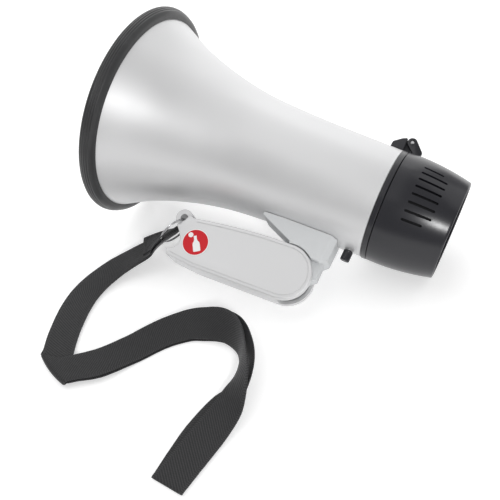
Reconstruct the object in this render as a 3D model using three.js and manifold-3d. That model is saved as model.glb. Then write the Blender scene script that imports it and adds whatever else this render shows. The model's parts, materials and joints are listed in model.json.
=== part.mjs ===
// Handheld megaphone with a folding handle, lying on its side on a flat surface.
// Millimetres, +Z up. The megaphone is drawn in a frame of its own and then laid down:
// X runs along the horn from the mouth (-X) to the rear cap (+X), with x = 0 where the silver
// body meets the black collar; the folded handle hangs towards -Z; Y is across the handle.
import * as THREE from 'three';
import { mergeVertices, toCreasedNormals } from 'three/addons/utils/BufferGeometryUtils.js';
import Module from 'manifold-3d';

const wasm = await Module();
wasm.setup();

// ---------------------------------------------------------------- driving dimensions
const GAP = 0.3; // between faces that touch on the real object
const MOUTH_RADIUS = 77.5; // outside of the rubber bumper
const LIP_X = -184.5; // front edge of the bell, inside the bumper
const FRONT_X = LIP_X - 7.8; // flat front of the bumper
const WALL = 2; // bell and cap walls
const BELL_OUTLINE = [
  [0, 37.8], [-54, 39.4], [-91, 41.8], [-113, 45.1],
  [-131, 49.4], [-149, 55.0], [-165, 61.6], [LIP_X, 71.8],
]; // outside of the bell: place along the horn, radius
const COLLAR_LENGTH = 4; // black ring between the body and the cap
const CAP_OUTLINE = [
  [COLLAR_LENGTH + GAP, 38.3], [16, 38.1], [28, 37.0], [39, 35.2], [48, 33.2],
]; // outside of the rear cap
const HINGE = { x: 2.1, z: 45.1, radius: 3.4, pin: 1.3 }; // rear cap hinge, on top
const LOUVRE = { count: 8, pitch: 8.7, first: -24.2, width: 1.6, front: 18.2, rear: 35.6 }; // degrees, mm
const CELL = { radius: 13.1, length: 50 }; // size C battery cells
const CELL_OFFSET = 13.35; // centre lines of the cells, up and across
const PIVOT = { x: -39, z: -70.5, radius: 2.5 }; // handle fold axis
const FOLD_SLOPE = 5.5 * Math.PI / 180; // folded handle against the horn's axis
const HANDLE = { end: 18.5, half: 13, wall: 2, tongue: 6 }; // round end, half width, tongue half
const LUG = { x: -80, z: 15.6, radius: 5.7, hole: 2.7, half: 6 };
const RING = { radius: 11.2, wire: 0.8, drop: 240 * Math.PI / 180 }; // split ring, hanging direction
const TRIGGER = { front: -62, rear: -27, half: 4.8, proud: 1.2, travel: 2.5 };
const BRACKET_SCREWS = [-46, -24]; // places along the horn
const KNOB = { x: -7.6, radius: 3.2, top: -38.6, length: 7.4 };
const STRAP = { width: 23, thickness: 3 }; // two layers of webbing
const STRAP_FIRST_RUN = [
  [-56, -56, 23], [-66, -61, 19], [-78, -67, 11], [-92, -74, 4.4], [-103, -87, 1.9], [-108, -104, 1.8],
  [-107, -122, 1.8], [-100, -146, 1.8], [-89, -172, 1.8],
]; // centre line on the surface, from the split ring to the fold
const STRAP_SECOND_RUN = [
  [-87, -178, 1.8], [-68, -159, 1.8], [-55, -142, 1.8], [-40, -124, 1.8],
  [-27, -110, 1.8], [-13, -101, 1.8],
  [1, -97, 1.8], [15, -98, 1.8], [27, -106, 1.8], [34, -120, 1.8], [36, -137, 1.8], [34, -160, 1.8],
  [32, -183, 1.8], [29, -206, 1.8],
]; // and from the fold to the loop's far end
const REST_TILT = 0.1945; // radians: the horn's axis rises towards the mouth
const REST_ROLL = 0.4622; // radians: the handle droops to the surface
const SEGMENTS = 36;
const HORN_SEGMENTS = 44;

// ---------------------------------------------------------------- materials
const finish = (color, roughness, metalness) => (
  new THREE.MeshStandardMaterial({ color, roughness, metalness }));
const MATERIALS = {
  silver: finish(0xb9bbbd, 0.38, 0.55),
  black: finish(0x101012, 0.22, 0),
  rubber: finish(0x1b1c1e, 0.75, 0),
  grey: finish(0xc9cbcc, 0.45, 0.1),
  steel: finish(0xb8bcc0, 0.25, 1),
  brass: finish(0xc8a24a, 0.3, 1),
  board: finish(0x1f6b3a, 0.5, 0),
  cell: finish(0x2d4c8a, 0.35, 0.2),
  magnet: finish(0x3a3c40, 0.5, 0.4),
  paper: finish(0xc7b48a, 0.7, 0),
  red: finish(0xc3122b, 0.4, 0),
  webbing: finish(0x17181a, 0.9, 0),
};

// ---------------------------------------------------------------- solid helpers
function outward(geometry) {
  const p = geometry.attributes.position;
  const index = geometry.index.array;
  const corner = [new THREE.Vector3(), new THREE.Vector3(), new THREE.Vector3()];
  let volume = 0;
  for (let i = 0; i < index.length; i += 3) {
    corner.forEach((v, k) => v.fromBufferAttribute(p, index[i + k]));
    volume += corner[0].dot(corner[1].cross(corner[2]));
  }
  if (volume < 0) {
    for (let i = 0; i < index.length; i += 3) {
      [index[i], index[i + 1]] = [index[i + 1], index[i]];
    }
  }
  return geometry;
}

function welded(geometry) {
  const bare = geometry.clone();
  for (const name of ['normal', 'uv']) {
    bare.deleteAttribute(name);
  }
  return outward(mergeVertices(bare, 1e-4));
}

function solid(geometry) {
  const closed = welded(geometry);
  return new wasm.Manifold(new wasm.Mesh({
    numProp: 3,
    vertProperties: new Float32Array(closed.attributes.position.array),
    triVerts: new Uint32Array(closed.index.array),
  }));
}

function skin(body) {
  const mesh = body.getMesh();
  const geometry = new THREE.BufferGeometry();
  geometry.setAttribute('position', new THREE.BufferAttribute(new Float32Array(mesh.vertProperties), 3));
  geometry.setIndex(new THREE.BufferAttribute(new Uint32Array(mesh.triVerts), 1));
  return geometry;
}

const join = (...bodies) => bodies.reduce((sum, body) => sum.add(body));
const cut = (body, ...tools) => tools.reduce((rest, tool) => rest.subtract(tool), body);

// A profile of [x, radius] points turned about the X axis. It starts and ends on the axis, or is
// closed on itself here.
function turned(profile, segments = SEGMENTS) {
  const points = profile.map(([x, r]) => new THREE.Vector2(r, x));
  if (profile[0][1] > 0 || profile.at(-1)[1] > 0) {
    points.push(points[0].clone());
  }
  return new THREE.LatheGeometry(points, segments).rotateZ(-Math.PI / 2);
}

const disc = (x0, x1, radius, segments) => turned(
  [[x0, 0], [x0, radius], [x1, radius], [x1, 0]], segments);
const ring = (x0, x1, outer, inner, segments) => turned(
  [[x0, outer], [x1, outer], [x1, inner], [x0, inner]], segments);

// An outline in the X-Z plane with its thickness along Y, from y0 to y1.
function plate(shape, y0, y1, curveSegments = 8) {
  const settings = { depth: y1 - y0, bevelEnabled: false, curveSegments };
  const geometry = new THREE.ExtrudeGeometry(shape, settings);
  return geometry.rotateX(Math.PI / 2).translate(0, y1, 0);
}

function polygon(points) {
  return new THREE.Shape(points.map(([x, z]) => new THREE.Vector2(x, z)));
}

const block = (x0, x1, y0, y1, z0, z1) => new THREE.BoxGeometry(x1 - x0, y1 - y0, z1 - z0)
  .translate((x0 + x1) / 2, (y0 + y1) / 2, (z0 + z1) / 2);

// A round bar along Y between y0 and y1.
const barY = (x, z, radius, y0, y1, segments = 20) => new THREE
  .CylinderGeometry(radius, radius, y1 - y0, segments)
  .translate(x, (y0 + y1) / 2, z);

// A round bar along Z between z0 and z1.
const barZ = (x, y, radius, z0, z1, segments = 20) => new THREE
  .CylinderGeometry(radius, radius, z1 - z0, segments)
  .rotateX(Math.PI / 2).translate(x, y, (z0 + z1) / 2);

// A round bar along X between x0 and x1.
const barX = (y, z, radius, x0, x1, segments = 24) => new THREE
  .CylinderGeometry(radius, radius, x1 - x0, segments)
  .rotateZ(Math.PI / 2).translate((x0 + x1) / 2, y, z);

function add(group, name, geometry, material) {
  const mesh = new THREE.Mesh(toCreasedNormals(welded(geometry), 0.5), MATERIALS[material]);
  mesh.name = name;
  group.add(mesh);
  return mesh;
}

// Outline points joined by a smooth curve, and the same curve moved inward by the wall.
function smooth(outline, steps) {
  const curve = new THREE.SplineCurve(outline.map(([x, r]) => new THREE.Vector2(x, r)));
  return curve.getPoints(steps).map((p) => [p.x, p.y]);
}

function shellProfile(outline, steps, wall) {
  const outer = smooth(outline, steps);
  return [...outer, ...outer.map(([x, r]) => [x, r - wall]).reverse()];
}

// ---------------------------------------------------------------- horn
function buildHorn(group) {
  const shell = solid(turned(shellProfile(BELL_OUTLINE, 10, WALL), HORN_SEGMENTS));
  const potHole = solid(barZ(KNOB.x, 0, 2.4, -45, -30));
  const screwHoles = BRACKET_SCREWS.map((x) => solid(barZ(x, 0, 2.1, -45, -30, 12)));
  add(group, 'horn_bell', skin(cut(shell, potHole, ...screwHoles)), 'silver');
  const lip = BELL_OUTLINE.at(-1)[1];
  const bumper = [
    [LIP_X + 3, lip - 0.9], [LIP_X + 2.2, lip + 2.4],
    [LIP_X - 1.2, MOUTH_RADIUS - 0.6], [LIP_X - 3.4, MOUTH_RADIUS], [LIP_X - 5.8, MOUTH_RADIUS - 0.7],
    [FRONT_X, MOUTH_RADIUS - 3.2], [FRONT_X, MOUTH_RADIUS - 7],
    [LIP_X - 1, MOUTH_RADIUS - 9.8], [LIP_X - 1, lip - WALL - GAP], [LIP_X - GAP, lip - WALL - GAP],
    [LIP_X - GAP, lip + GAP], [LIP_X, lip + GAP],
  ];
  add(group, 'rim_bumper', turned(bumper, HORN_SEGMENTS), 'rubber');
}

// The sound path: a driver on the bulkhead, a throat tube, and a cup that turns the sound back
// into the bell, held by three ribs.
const BULKHEAD_X = -86;
function buildDriver(group) {
  add(group, 'bulkhead', disc(BULKHEAD_X, BULKHEAD_X + 3, 38.8, SEGMENTS), 'black');
  add(group, 'driver_magnet', disc(BULKHEAD_X + 3 + GAP, BULKHEAD_X + 13, 19, 24), 'magnet');
  add(group, 'driver_frame', skin(cut(solid(disc(-98, BULKHEAD_X - GAP, 27, 28)),
    solid(disc(-96, -87, 22, 28)), solid(disc(-99, -95, 7, 24)))), 'black');
  add(group, 'driver_diaphragm', turned([[-92, 21.7], [-91.6, 21.7], [-91.6, 16], [-94.6, 5], [-94.6, 0],
    [-95, 0], [-95, 5], [-92, 16]], 20), 'paper');
  add(group, 'throat_tube', turned([[-98 - GAP, 12], [-100, 12], [-100, 9.5], [-124, 10.5], [-124, 8.5],
    [-98 - GAP, 7]], 24), 'black');
}

function buildReflector(group) {
  const cup = turned([[-100, 29], [-112, 31], [-128, 28], [-139, 18], [-142, 6], [-142, 0], [-140, 0],
    [-140, 6], [-137, 17], [-127, 26], [-112, 29], [-100, 27]].reverse(), 28);
  const ribs = [0, 1, 2].map((i) => solid(block(-123, -104, -1, 1, 10.5 + GAP, 29.4)
    .rotateX(i * 2 * Math.PI / 3 + Math.PI / 2)));
  const hub = solid(ring(-123, -104, 13.2, 10.5 + GAP, 24));
  add(group, 'reflector_cup', skin(join(solid(cup), hub, ...ribs)), 'black');
}

// ---------------------------------------------------------------- power and electronics
const CELL_PLACES = [[-1, -1], [1, -1], [1, 1], [-1, 1]].map((s) => s.map((k) => k * CELL_OFFSET));
const TRAY = { front: -57, rear: -2, outer: 35.6, inner: 33.4 };
const CELL_FRONT = -54;

function buildBatteries(group) {
  const cup = turned([[TRAY.front, 0], [TRAY.front, TRAY.outer], [TRAY.rear, TRAY.outer],
    [TRAY.rear, TRAY.inner], [TRAY.front + 1.7, TRAY.inner], [TRAY.front + 1.7, 0]], 40);
  const potWindow = solid(block(-14, 0, -6, 6, -42, -27));
  const screwWindow = solid(block(-56, -16, -4, 4, -42, -34));
  add(group, 'battery_tray', skin(cut(solid(cup), potWindow, screwWindow)), 'black');
  add(group, 'front_contact_plate', disc(-55, CELL_FRONT - GAP, 28, 24), 'brass');
  CELL_PLACES.forEach(([y, z], i) => {
    const end = CELL_FRONT + CELL.length;
    const can = turned([[CELL_FRONT, 0], [CELL_FRONT, CELL.radius], [end - 1.6, CELL.radius],
      [end - 1.6, 3.2], [end, 3.2], [end, 0]], 20).translate(0, y, z);
    add(group, `battery_${i + 1}`, can, 'cell');
  });
}

function buildElectronics(group) {
  add(group, 'amplifier_board', disc(-62, -60.4, 32, 28), 'board');
  add(group, 'output_transformer', block(-72.4, -62 - GAP, -9, 9, 2, 18), 'magnet');
  add(group, 'filter_capacitor', barX(0, -12, 4, -72.4, -62 - GAP, 16), 'cell');
  add(group, 'volume_pot', skin(join(solid(block(KNOB.x - 4.4, KNOB.x + 4.4, -5, 5, -35.2, -29)),
    solid(barZ(KNOB.x, 0, 2.1, -38.2, -35, 16)))), 'steel');
}

// ---------------------------------------------------------------- rear cap
function louvreSlots() {
  const slots = [];
  for (const side of [1, -1]) {
    for (let i = 0; i < LOUVRE.count; i++) {
      const rear = i === 0 || i === LOUVRE.count - 1 ? LOUVRE.rear - 4 : LOUVRE.rear;
      const slot = block(LOUVRE.front, rear, -LOUVRE.width / 2, LOUVRE.width / 2, -42, -30);
      const angle = THREE.MathUtils.degToRad(LOUVRE.first + i * LOUVRE.pitch);
      slots.push(solid(slot.rotateX(side * (angle - Math.PI / 2))));
    }
  }
  return slots;
}

function buildCap(group) {
  add(group, 'rear_collar', ring(GAP, COLLAR_LENGTH, 38.4, 34.6), 'black');
  const cap = solid(turned(shellProfile(CAP_OUTLINE, 5, WALL)));
  const ear = new THREE.Shape();
  ear.absarc(HINGE.x, HINGE.z, HINGE.radius, 0.9, -2.2 + 2 * Math.PI, false);
  ear.lineTo(4.8, 38.2);
  ear.lineTo(5.2, 37);
  ear.lineTo(10.6, 37);
  ear.lineTo(11, 40.4);
  const ears = [[5.3, 8.5], [-8.5, -5.3]].map(([a, b]) => solid(plate(ear, a, b)));
  const bore = solid(barY(HINGE.x, HINGE.z, HINGE.pin + GAP, -9, 9, 16));
  add(group, 'rear_cap', skin(cut(join(cap, ...ears), bore, ...louvreSlots())), 'black');
  add(group, 'cap_bulkhead', disc(5, 7, 35.7, 36), 'black');
  add(group, 'rear_contact_plate', disc(4, 5 - GAP, 30, 24), 'brass');
  CELL_PLACES.slice(0, 2).forEach(([y, z], i) => {
    const spring = turned([[-3.2, 0], [-3.2, 3], [3.7, 6], [3.7, 0]], 16).translate(0, y, z);
    add(group, `battery_spring_${i + 1}`, spring, 'steel');
  });
}

function buildHinge(group) {
  const base = polygon([[-10.7, 36], [-10.4, 42.6], [-5, 47], [-2.6, 48.2], [-1.6, 47.9], [-1.6, 36]]);
  const knuckle = new THREE.Shape();
  knuckle.absarc(HINGE.x, HINGE.z, HINGE.radius, -0.5, 2.2, false);
  knuckle.lineTo(-2.4, 46);
  knuckle.lineTo(-2.4, 36);
  knuckle.lineTo(2.4, 36);
  knuckle.lineTo(3, 41);
  const tubeSpace = solid(disc(-20, 20, 38.7, 60));
  const bore = solid(barY(HINGE.x, HINGE.z, HINGE.pin + GAP, -9, 9, 16));
  const body = join(solid(plate(base, -8.5, 8.5)), solid(plate(knuckle, -5, 5)));
  add(group, 'cap_hinge_base', skin(cut(body, tubeSpace, bore)), 'black');
  add(group, 'cap_hinge_pin', barY(HINGE.x, HINGE.z, HINGE.pin, -8.8, 8.8, 16), 'steel');
}

function buildRearFace(group) {
  const face = solid(disc(43.5, 46, 31.4, 40));
  const micHole = solid(disc(42, 47, 9.3, 24));
  const slot = solid(block(42, 47, -6, 6, -21.6, -18.4));
  add(group, 'end_plate', skin(cut(face, micHole, slot)), 'black');
  const holes = [[0, 0]];
  for (let i = 0; i < 6; i++) {
    holes.push([4.6 * Math.cos(i * Math.PI / 3), 4.6 * Math.sin(i * Math.PI / 3)]);
  }
  const grille = solid(disc(44.6, 46, 9, 24));
  const drills = holes.map(([y, z]) => solid(barX(y, z, 1.1, 43, 47, 8)));
  add(group, 'mic_grille', skin(cut(grille, ...drills)), 'steel');
  add(group, 'mic_capsule', disc(37.4, 44.3, 7.5, 24), 'steel');
  add(group, 'control_board', disc(35.4, 37.1, 26, 28), 'board');
  const thumb = solid(block(43, 48.4, -2.4, 2.4, -21.2, -18.8));
  const slider = join(thumb, solid(block(38, 43.2, -2.4, 2.4, -22.4, -17.6)));
  add(group, 'mode_slider', skin(slider), 'red');
}

function buildKnob(group) {
  const knob = barZ(KNOB.x, 0, KNOB.radius, KNOB.top - KNOB.length, KNOB.top, 16);
  add(group, 'volume_knob', knob, 'black');
}

// ---------------------------------------------------------------- bracket and handle

function buildBracket(group) {
  const { x, z } = PIVOT;
  const throat = HANDLE.end + 0.8;
  const side = new THREE.Shape();
  side.moveTo(-68.5, -36);
  side.lineTo(-68.5, -40.6);
  side.lineTo(-44, -50.4);
  side.absarc(x, z, throat, 1.83, 0.87, true);
  side.lineTo(-20.5, -56);
  side.lineTo(-16, -52.5);
  side.lineTo(-15.6, -36);
  const tongue = new THREE.Shape();
  tongue.moveTo(-28, -53.5);
  tongue.lineTo(-18.6, -54);
  tongue.lineTo(-18.4, -66);
  tongue.lineTo(-31, -78.5);
  tongue.absarc(x, z, 11.3, -0.78, -4.625, true);
  const tubeSpace = solid(turned([[-90, 0], [-90, 42.1], [-54, 39.7], [0, 38.1], [0, 0]], 72));
  const rearBevels = [1, -1].map((s) => solid(
    polygonPrism([[-22, s * 14], [-14, s * 14], [-14, s * 9.4]], -60, -30)));
  const pinBore = solid(barY(x, z, PIVOT.radius + GAP, -20, 20, 20));
  const screws = BRACKET_SCREWS.map((sx) => solid(barZ(sx, 0, 1.8, -46, -30, 12)));
  const cheeks = solid(plate(side, -HANDLE.half, HANDLE.half));
  const body = join(cheeks, solid(plate(tongue, -HANDLE.tongue, HANDLE.tongue)));
  add(group, 'handle_bracket', skin(cut(body, tubeSpace, ...rearBevels, pinBore, ...screws)), 'grey');
  BRACKET_SCREWS.forEach((sx, i) => {
    const head = solid(barZ(sx, 0, 3.2, -36 + GAP, -34.2, 16));
    const shank = solid(barZ(sx, 0, 1.5, -45.5, -35, 12));
    add(group, `bracket_screw_${i + 1}`, skin(join(head, shank)), 'steel');
  });
}

// A prism that stands along Z over an outline in X-Y.
function polygonPrism(points, z0, z1) {
  const settings = { depth: z1 - z0, bevelEnabled: false };
  return new THREE.ExtrudeGeometry(polygon(points), settings).translate(0, 0, z0);
}

// The handle's own frame: origin on the fold axis, the grip runs towards -X, the edge that faces
// the horn when folded is +Z.
function handleOutline() {
  const shape = new THREE.Shape();
  shape.moveTo(-60, -16.4);
  shape.lineTo(-0.7, -HANDLE.end);
  shape.absarc(0, 0, HANDLE.end, -Math.PI / 2 - 0.04, Math.PI / 2 + 0.036, false);
  shape.lineTo(-69, 16.0);
  shape.quadraticCurveTo(-73.6, 15.8, -75.2, 18.6);
  shape.absarc(LUG.x, LUG.z, LUG.radius, 0.62, 4.3, false);
  shape.quadraticCurveTo(-72.8, 0, -75, -4.6);
  shape.quadraticCurveTo(-77, -8.6, -82, -9.6);
  shape.lineTo(-80, -13.8);
  return shape;
}

function handleCavity() {
  const inner = HANDLE.end - HANDLE.wall;
  const shape = new THREE.Shape();
  shape.absarc(0, 0, inner, -Math.PI / 2, Math.PI / 2, false);
  shape.lineTo(-66, 13.8);
  shape.lineTo(-69, 2);
  shape.lineTo(-66, -13.8);
  return shape;
}

const HANDLE_SCREWS = [[-22, -11.5], [-66, -9.5], [-66, 9.5]];

function handleShell(side) {
  const y = (a, b) => (side > 0 ? [a, b] : [-b, -a]);
  const outer = solid(plate(handleOutline(), ...y(GAP / 2, HANDLE.half), 12));
  const cavity = solid(plate(handleCavity(), ...y(-1, HANDLE.half - HANDLE.wall), 10));
  const bosses = HANDLE_SCREWS.map(([x, z]) => solid(
    barY(x, z, 3.4, ...y(GAP / 2, HANDLE.half - 1), 16)));
  const pinBoss = solid(barY(0, 0, 5.5, ...y(HANDLE.tongue + GAP, HANDLE.half - 1), 20));
  const boreEnd = side > 0 ? 14 : 8;
  const screwBores = HANDLE_SCREWS.map(([x, z]) => solid(barY(x, z, 1.7, ...y(-1, boreEnd), 12)));
  const headBores = side > 0 ? HANDLE_SCREWS.map(([x, z]) => solid(barY(x, z, 3.1, 10.6, 14, 16))) : [];
  const pinBore = solid(barY(0, 0, PIVOT.radius + GAP, ...y(-1, 11), 20));
  const lugHole = solid(barY(LUG.x, LUG.z, LUG.hole, -20, 20, 16));
  const besideLug = polygon([[-90, 9.6], [-79, 9.6], [-73.4, 17.2], [-73.4, 24], [-90, 24]]);
  const lugRelief = solid(plate(besideLug, ...y(LUG.half, 14)));
  const tongueSlot = new THREE.Shape();
  tongueSlot.absarc(0, 0, HANDLE.end + 2, -1.52, 1.08, false);
  tongueSlot.lineTo(0, 0);
  const slot = solid(plate(tongueSlot, -HANDLE.tongue - GAP, HANDLE.tongue + GAP));
  const gateHalf = TRIGGER.half + GAP;
  const triggerGate = solid(block(TRIGGER.front - 0.5, TRIGGER.rear + 0.5, -gateHalf, gateHalf, 9, 24));
  const openerSlot = solid(plate(openerOutline(GAP), -1.2 - GAP, 1.2 + GAP));
  const hollow = cut(outer, cavity);
  const recesses = [pinBore, lugHole, lugRelief, slot, triggerGate, openerSlot];
  return cut(join(hollow, ...bosses, pinBoss), ...screwBores, ...headBores, ...recesses);
}

// The steel tooth of the bottle opener, let into both shells at the grip's free end.
function openerOutline(grow) {
  return polygon([
    [-71 + grow, -12.8 - grow], [-82.6 - grow, -12.6 - grow], [-83.2 - grow, -9.6 + grow],
    [-77, -7.6 + grow], [-71 + grow, -7.2 + grow],
  ]);
}

function buildHandle(group) {
  add(group, 'handle_shell_left', skin(handleShell(-1)), 'silver');
  add(group, 'handle_shell_right', skin(handleShell(1)), 'silver');
  add(group, 'handle_pivot_pin', barY(0, 0, PIVOT.radius, -10.6, 10.6, 20), 'steel');
  add(group, 'opener_tooth', plate(openerOutline(0), -1.2, 1.2), 'steel');
  HANDLE_SCREWS.forEach(([x, z], i) => {
    const head = solid(barY(x, z, 2.8, 10.6 + GAP, 12.8, 16));
    const shank = solid(barY(x, z, 1.4, -7.6, 11, 12));
    add(group, `handle_screw_${i + 1}`, skin(join(head, shank)), 'steel');
  });
  add(group, 'round_sticker', barY(-63.3, 0, 9, -HANDLE.half - GAP - 0.3, -HANDLE.half - GAP, 32), 'red');
}

function buildTrigger(group) {
  const { front, rear, half, proud, travel } = TRIGGER;
  const edge = (x) => HANDLE.end + x * 0.036;
  const lever = polygon([[front, 12.8], [rear, 12.8],
    [rear, edge(rear) + proud - 1], [rear - 1.5, edge(rear) + proud],
    [front + 1.5, edge(front) + proud], [front, edge(front) + proud - 1]]);
  const springPocket = solid(barZ(-38, 0, 3, 10, 12.8 + travel + 1, 12));
  add(group, 'trigger', skin(cut(solid(plate(lever, -half, half)), springPocket)), 'grey');
  add(group, 'trigger_spring', barZ(-38, 0, 2.4, 6, 13.4, 12), 'steel');
  add(group, 'trigger_switch', skin(join(solid(block(-58, -46, -3.6, 3.6, -0.5, 6)),
    solid(block(-54, -50, -1.5, 1.5, 5, 9.8)))), 'black');
  add(group, 'switch_frame', block(-59, -33, -5, 5, -3, -0.5 - GAP), 'black');
}

// ---------------------------------------------------------------- ring and strap
function buildRing(group) {
  const geometry = new THREE.TorusGeometry(RING.radius, RING.wire, 8, 28);
  // In the torus' own plane X is the hanging direction and Y becomes the hole's axis.
  const across = new THREE.Vector3(Math.cos(RING.drop), 0, Math.sin(RING.drop));
  const along = new THREE.Vector3(0, 1, 0);
  geometry.applyMatrix4(new THREE.Matrix4().makeBasis(across, along, across.clone().cross(along)));
  geometry.translate(LUG.x + across.x * RING.radius, 0, LUG.z + across.z * RING.radius);
  add(group, 'split_ring', geometry, 'steel');
}

// Doubled webbing: a flat band along a route, level across its width.
function band(route, width, thickness, steps) {
  const curve = new THREE.CatmullRomCurve3(route.map((p) => new THREE.Vector3(...p)));
  const up = new THREE.Vector3(0, 0, 1);
  const positions = [];
  const index = [];
  for (let i = 0; i <= steps; i++) {
    const at = curve.getPointAt(i / steps);
    const side = curve.getTangentAt(i / steps).cross(up).normalize().multiplyScalar(width / 2);
    for (const [s, h] of [[1, 0.5], [-1, 0.5], [-1, -0.5], [1, -0.5]]) {
      positions.push(at.x + s * side.x, at.y + s * side.y, at.z + h * thickness);
    }
  }
  const quad = (a, b, c, d) => index.push(a, b, c, a, c, d);
  for (let i = 0; i < steps; i++) {
    for (let k = 0; k < 4; k++) {
      const next = (k + 1) % 4;
      quad(4 * i + k, 4 * i + next, 4 * i + 4 + next, 4 * i + 4 + k);
    }
  }
  quad(3, 2, 1, 0);
  quad(4 * steps, 4 * steps + 1, 4 * steps + 2, 4 * steps + 3);
  const geometry = new THREE.BufferGeometry();
  geometry.setAttribute('position', new THREE.Float32BufferAttribute(positions, 3));
  geometry.setIndex(index);
  return geometry;
}

function buildStrap(group) {
  const first = solid(band(STRAP_FIRST_RUN, STRAP.width, STRAP.thickness, 16));
  const second = solid(band(STRAP_SECOND_RUN, STRAP.width, STRAP.thickness, 26));
  add(group, 'wrist_strap', skin(join(first, second)), 'webbing');
}

// ---------------------------------------------------------------- assembly
const megaphone = new THREE.Group();
buildHorn(megaphone);
buildDriver(megaphone);
buildReflector(megaphone);
buildBatteries(megaphone);
buildElectronics(megaphone);
buildCap(megaphone);
buildHinge(megaphone);
buildRearFace(megaphone);
buildKnob(megaphone);
buildBracket(megaphone);

const handle = new THREE.Group();
handle.position.set(PIVOT.x, 0, PIVOT.z);
handle.rotation.y = -FOLD_SLOPE;
buildHandle(handle);
buildTrigger(handle);
buildRing(handle);
megaphone.add(handle);

// Laid on its side: rolled so that the handle droops to the surface, then tilted mouth up.
const object = new THREE.Group();
megaphone.rotation.set(REST_ROLL - Math.PI / 2, 0, 0);
const tilted = new THREE.Group();
tilted.rotation.y = REST_TILT;
tilted.add(megaphone);
object.add(tilted);
object.updateMatrixWorld(true);
const box = new THREE.Box3().setFromObject(object, true);
tilted.position.set(-(box.min.x + box.max.x) / 2, -(box.min.y + box.max.y) / 2, -box.min.z);
buildStrap(object);

export default object;
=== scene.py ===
"""A handheld megaphone with a folded grip and a wrist strap: its looks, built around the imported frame."""

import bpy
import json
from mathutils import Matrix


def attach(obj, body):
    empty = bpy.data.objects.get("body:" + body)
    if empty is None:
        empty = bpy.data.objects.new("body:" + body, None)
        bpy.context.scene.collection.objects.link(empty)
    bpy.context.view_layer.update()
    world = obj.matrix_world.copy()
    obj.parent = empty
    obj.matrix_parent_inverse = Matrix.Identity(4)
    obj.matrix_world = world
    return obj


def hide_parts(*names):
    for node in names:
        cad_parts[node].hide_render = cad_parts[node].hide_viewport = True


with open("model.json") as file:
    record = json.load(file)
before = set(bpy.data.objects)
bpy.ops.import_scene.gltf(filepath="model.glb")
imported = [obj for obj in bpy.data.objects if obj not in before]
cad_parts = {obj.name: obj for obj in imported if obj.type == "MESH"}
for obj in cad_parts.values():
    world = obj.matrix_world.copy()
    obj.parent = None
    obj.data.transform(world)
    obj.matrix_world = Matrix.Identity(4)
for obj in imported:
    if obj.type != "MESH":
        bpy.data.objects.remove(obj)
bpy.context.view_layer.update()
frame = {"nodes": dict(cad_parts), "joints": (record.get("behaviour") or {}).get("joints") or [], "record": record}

import json
import math

import bmesh
import bpy
import numpy as np
from mathutils import Matrix, Vector

bl_info = {
    "name": "Handheld megaphone",
    "version": (1, 0, 0),
    "blender": (4, 5, 0),
    "location": "3D View > Sidebar > Megaphone",
    "description": "Builds a flared horn megaphone with a folding grip, around its packed frame",
    "category": "Object",
}

MM = 0.001
JOINTS = {joint["name"]: joint for joint in frame["joints"]}
MOUNTS = {mount["name"]: mount for mount in frame["record"]["mounts"]}


# ------------------------------------------------------------------ frames of reference
def placed(x_axis, y_axis, z_axis, origin):
    """The matrix of a frame with these axes and this origin."""
    matrix = Matrix((x_axis, y_axis, z_axis)).transposed().to_4x4()
    matrix.translation = origin
    return matrix


# The horn's own frame, as in the design: X from the mouth to the rear cap with 0 where the silver
# body ends, -Z towards the folded grip, and the grip's left side towards -Y.
PIVOT = (-39.0, 0.0, -70.5)  # the grip's fold axis in the horn's frame, in millimetres
HORN_X = -Vector(MOUNTS["mouth_face"]["axis"]).normalized()
HORN_Y = -Vector(JOINTS["handle_fold"]["axis"]).normalized()
HORN_Z = HORN_X.cross(HORN_Y)
HORN = placed(HORN_X, HORN_Y, HORN_Z, (0, 0, 0))
HORN.translation = Vector(JOINTS["handle_fold"]["pos_m"]) - HORN.to_3x3() @ (Vector(PIVOT) * MM)
GRIP_Z = -Vector(JOINTS["trigger_press"]["axis"]).normalized()
GRIP = placed(HORN_Y.cross(GRIP_Z), HORN_Y, GRIP_Z, Vector(JOINTS["handle_fold"]["pos_m"]))


def seated(base, place, degrees, axis):
    """A frame moved by millimetres within another and turned about one of its axes."""
    turn = Matrix.Rotation(math.radians(degrees), 4, axis)
    return base @ Matrix.Translation(Vector(place) * MM) @ turn


# ------------------------------------------------------------------ settings
def length(name, description, default):
    """A size that a user may change, with its default in millimetres."""
    return bpy.props.FloatProperty(
        name=name, description=description, default=default * MM, min=0.0, precision=5, unit="LENGTH",
        subtype="DISTANCE")


def in_mm(size):
    """A size from the panel, in the script's own millimetres."""
    return round(size / MM, 4)


def colour(name, description, default):
    """A base colour that a user may change."""
    return bpy.props.FloatVectorProperty(
        name=name, description=description, default=default, size=3, subtype="COLOR", min=0.0, max=1.0)


class MegaphoneSizes(bpy.types.PropertyGroup):
    """Sizes of the horn, the grip, the ring and the strap."""
    wall: length("Wall", "Wall of the bell and the cap", 2.0)
    rib_depth: length("Rib depth", "Depth of the fine ribs round the rubber bumper", 0.36)
    grip_round: length("Grip rounding", "Rounding along the grip's outer edges", 1.9)
    strap_width: length("Strap width", "Width of the webbing", 22.0)
    strap_thickness: length("Strap thickness", "Thickness of one layer of webbing", 1.1)
    ring_wire: length("Ring wire", "Thickness of the split ring's wire", 0.8)


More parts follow.
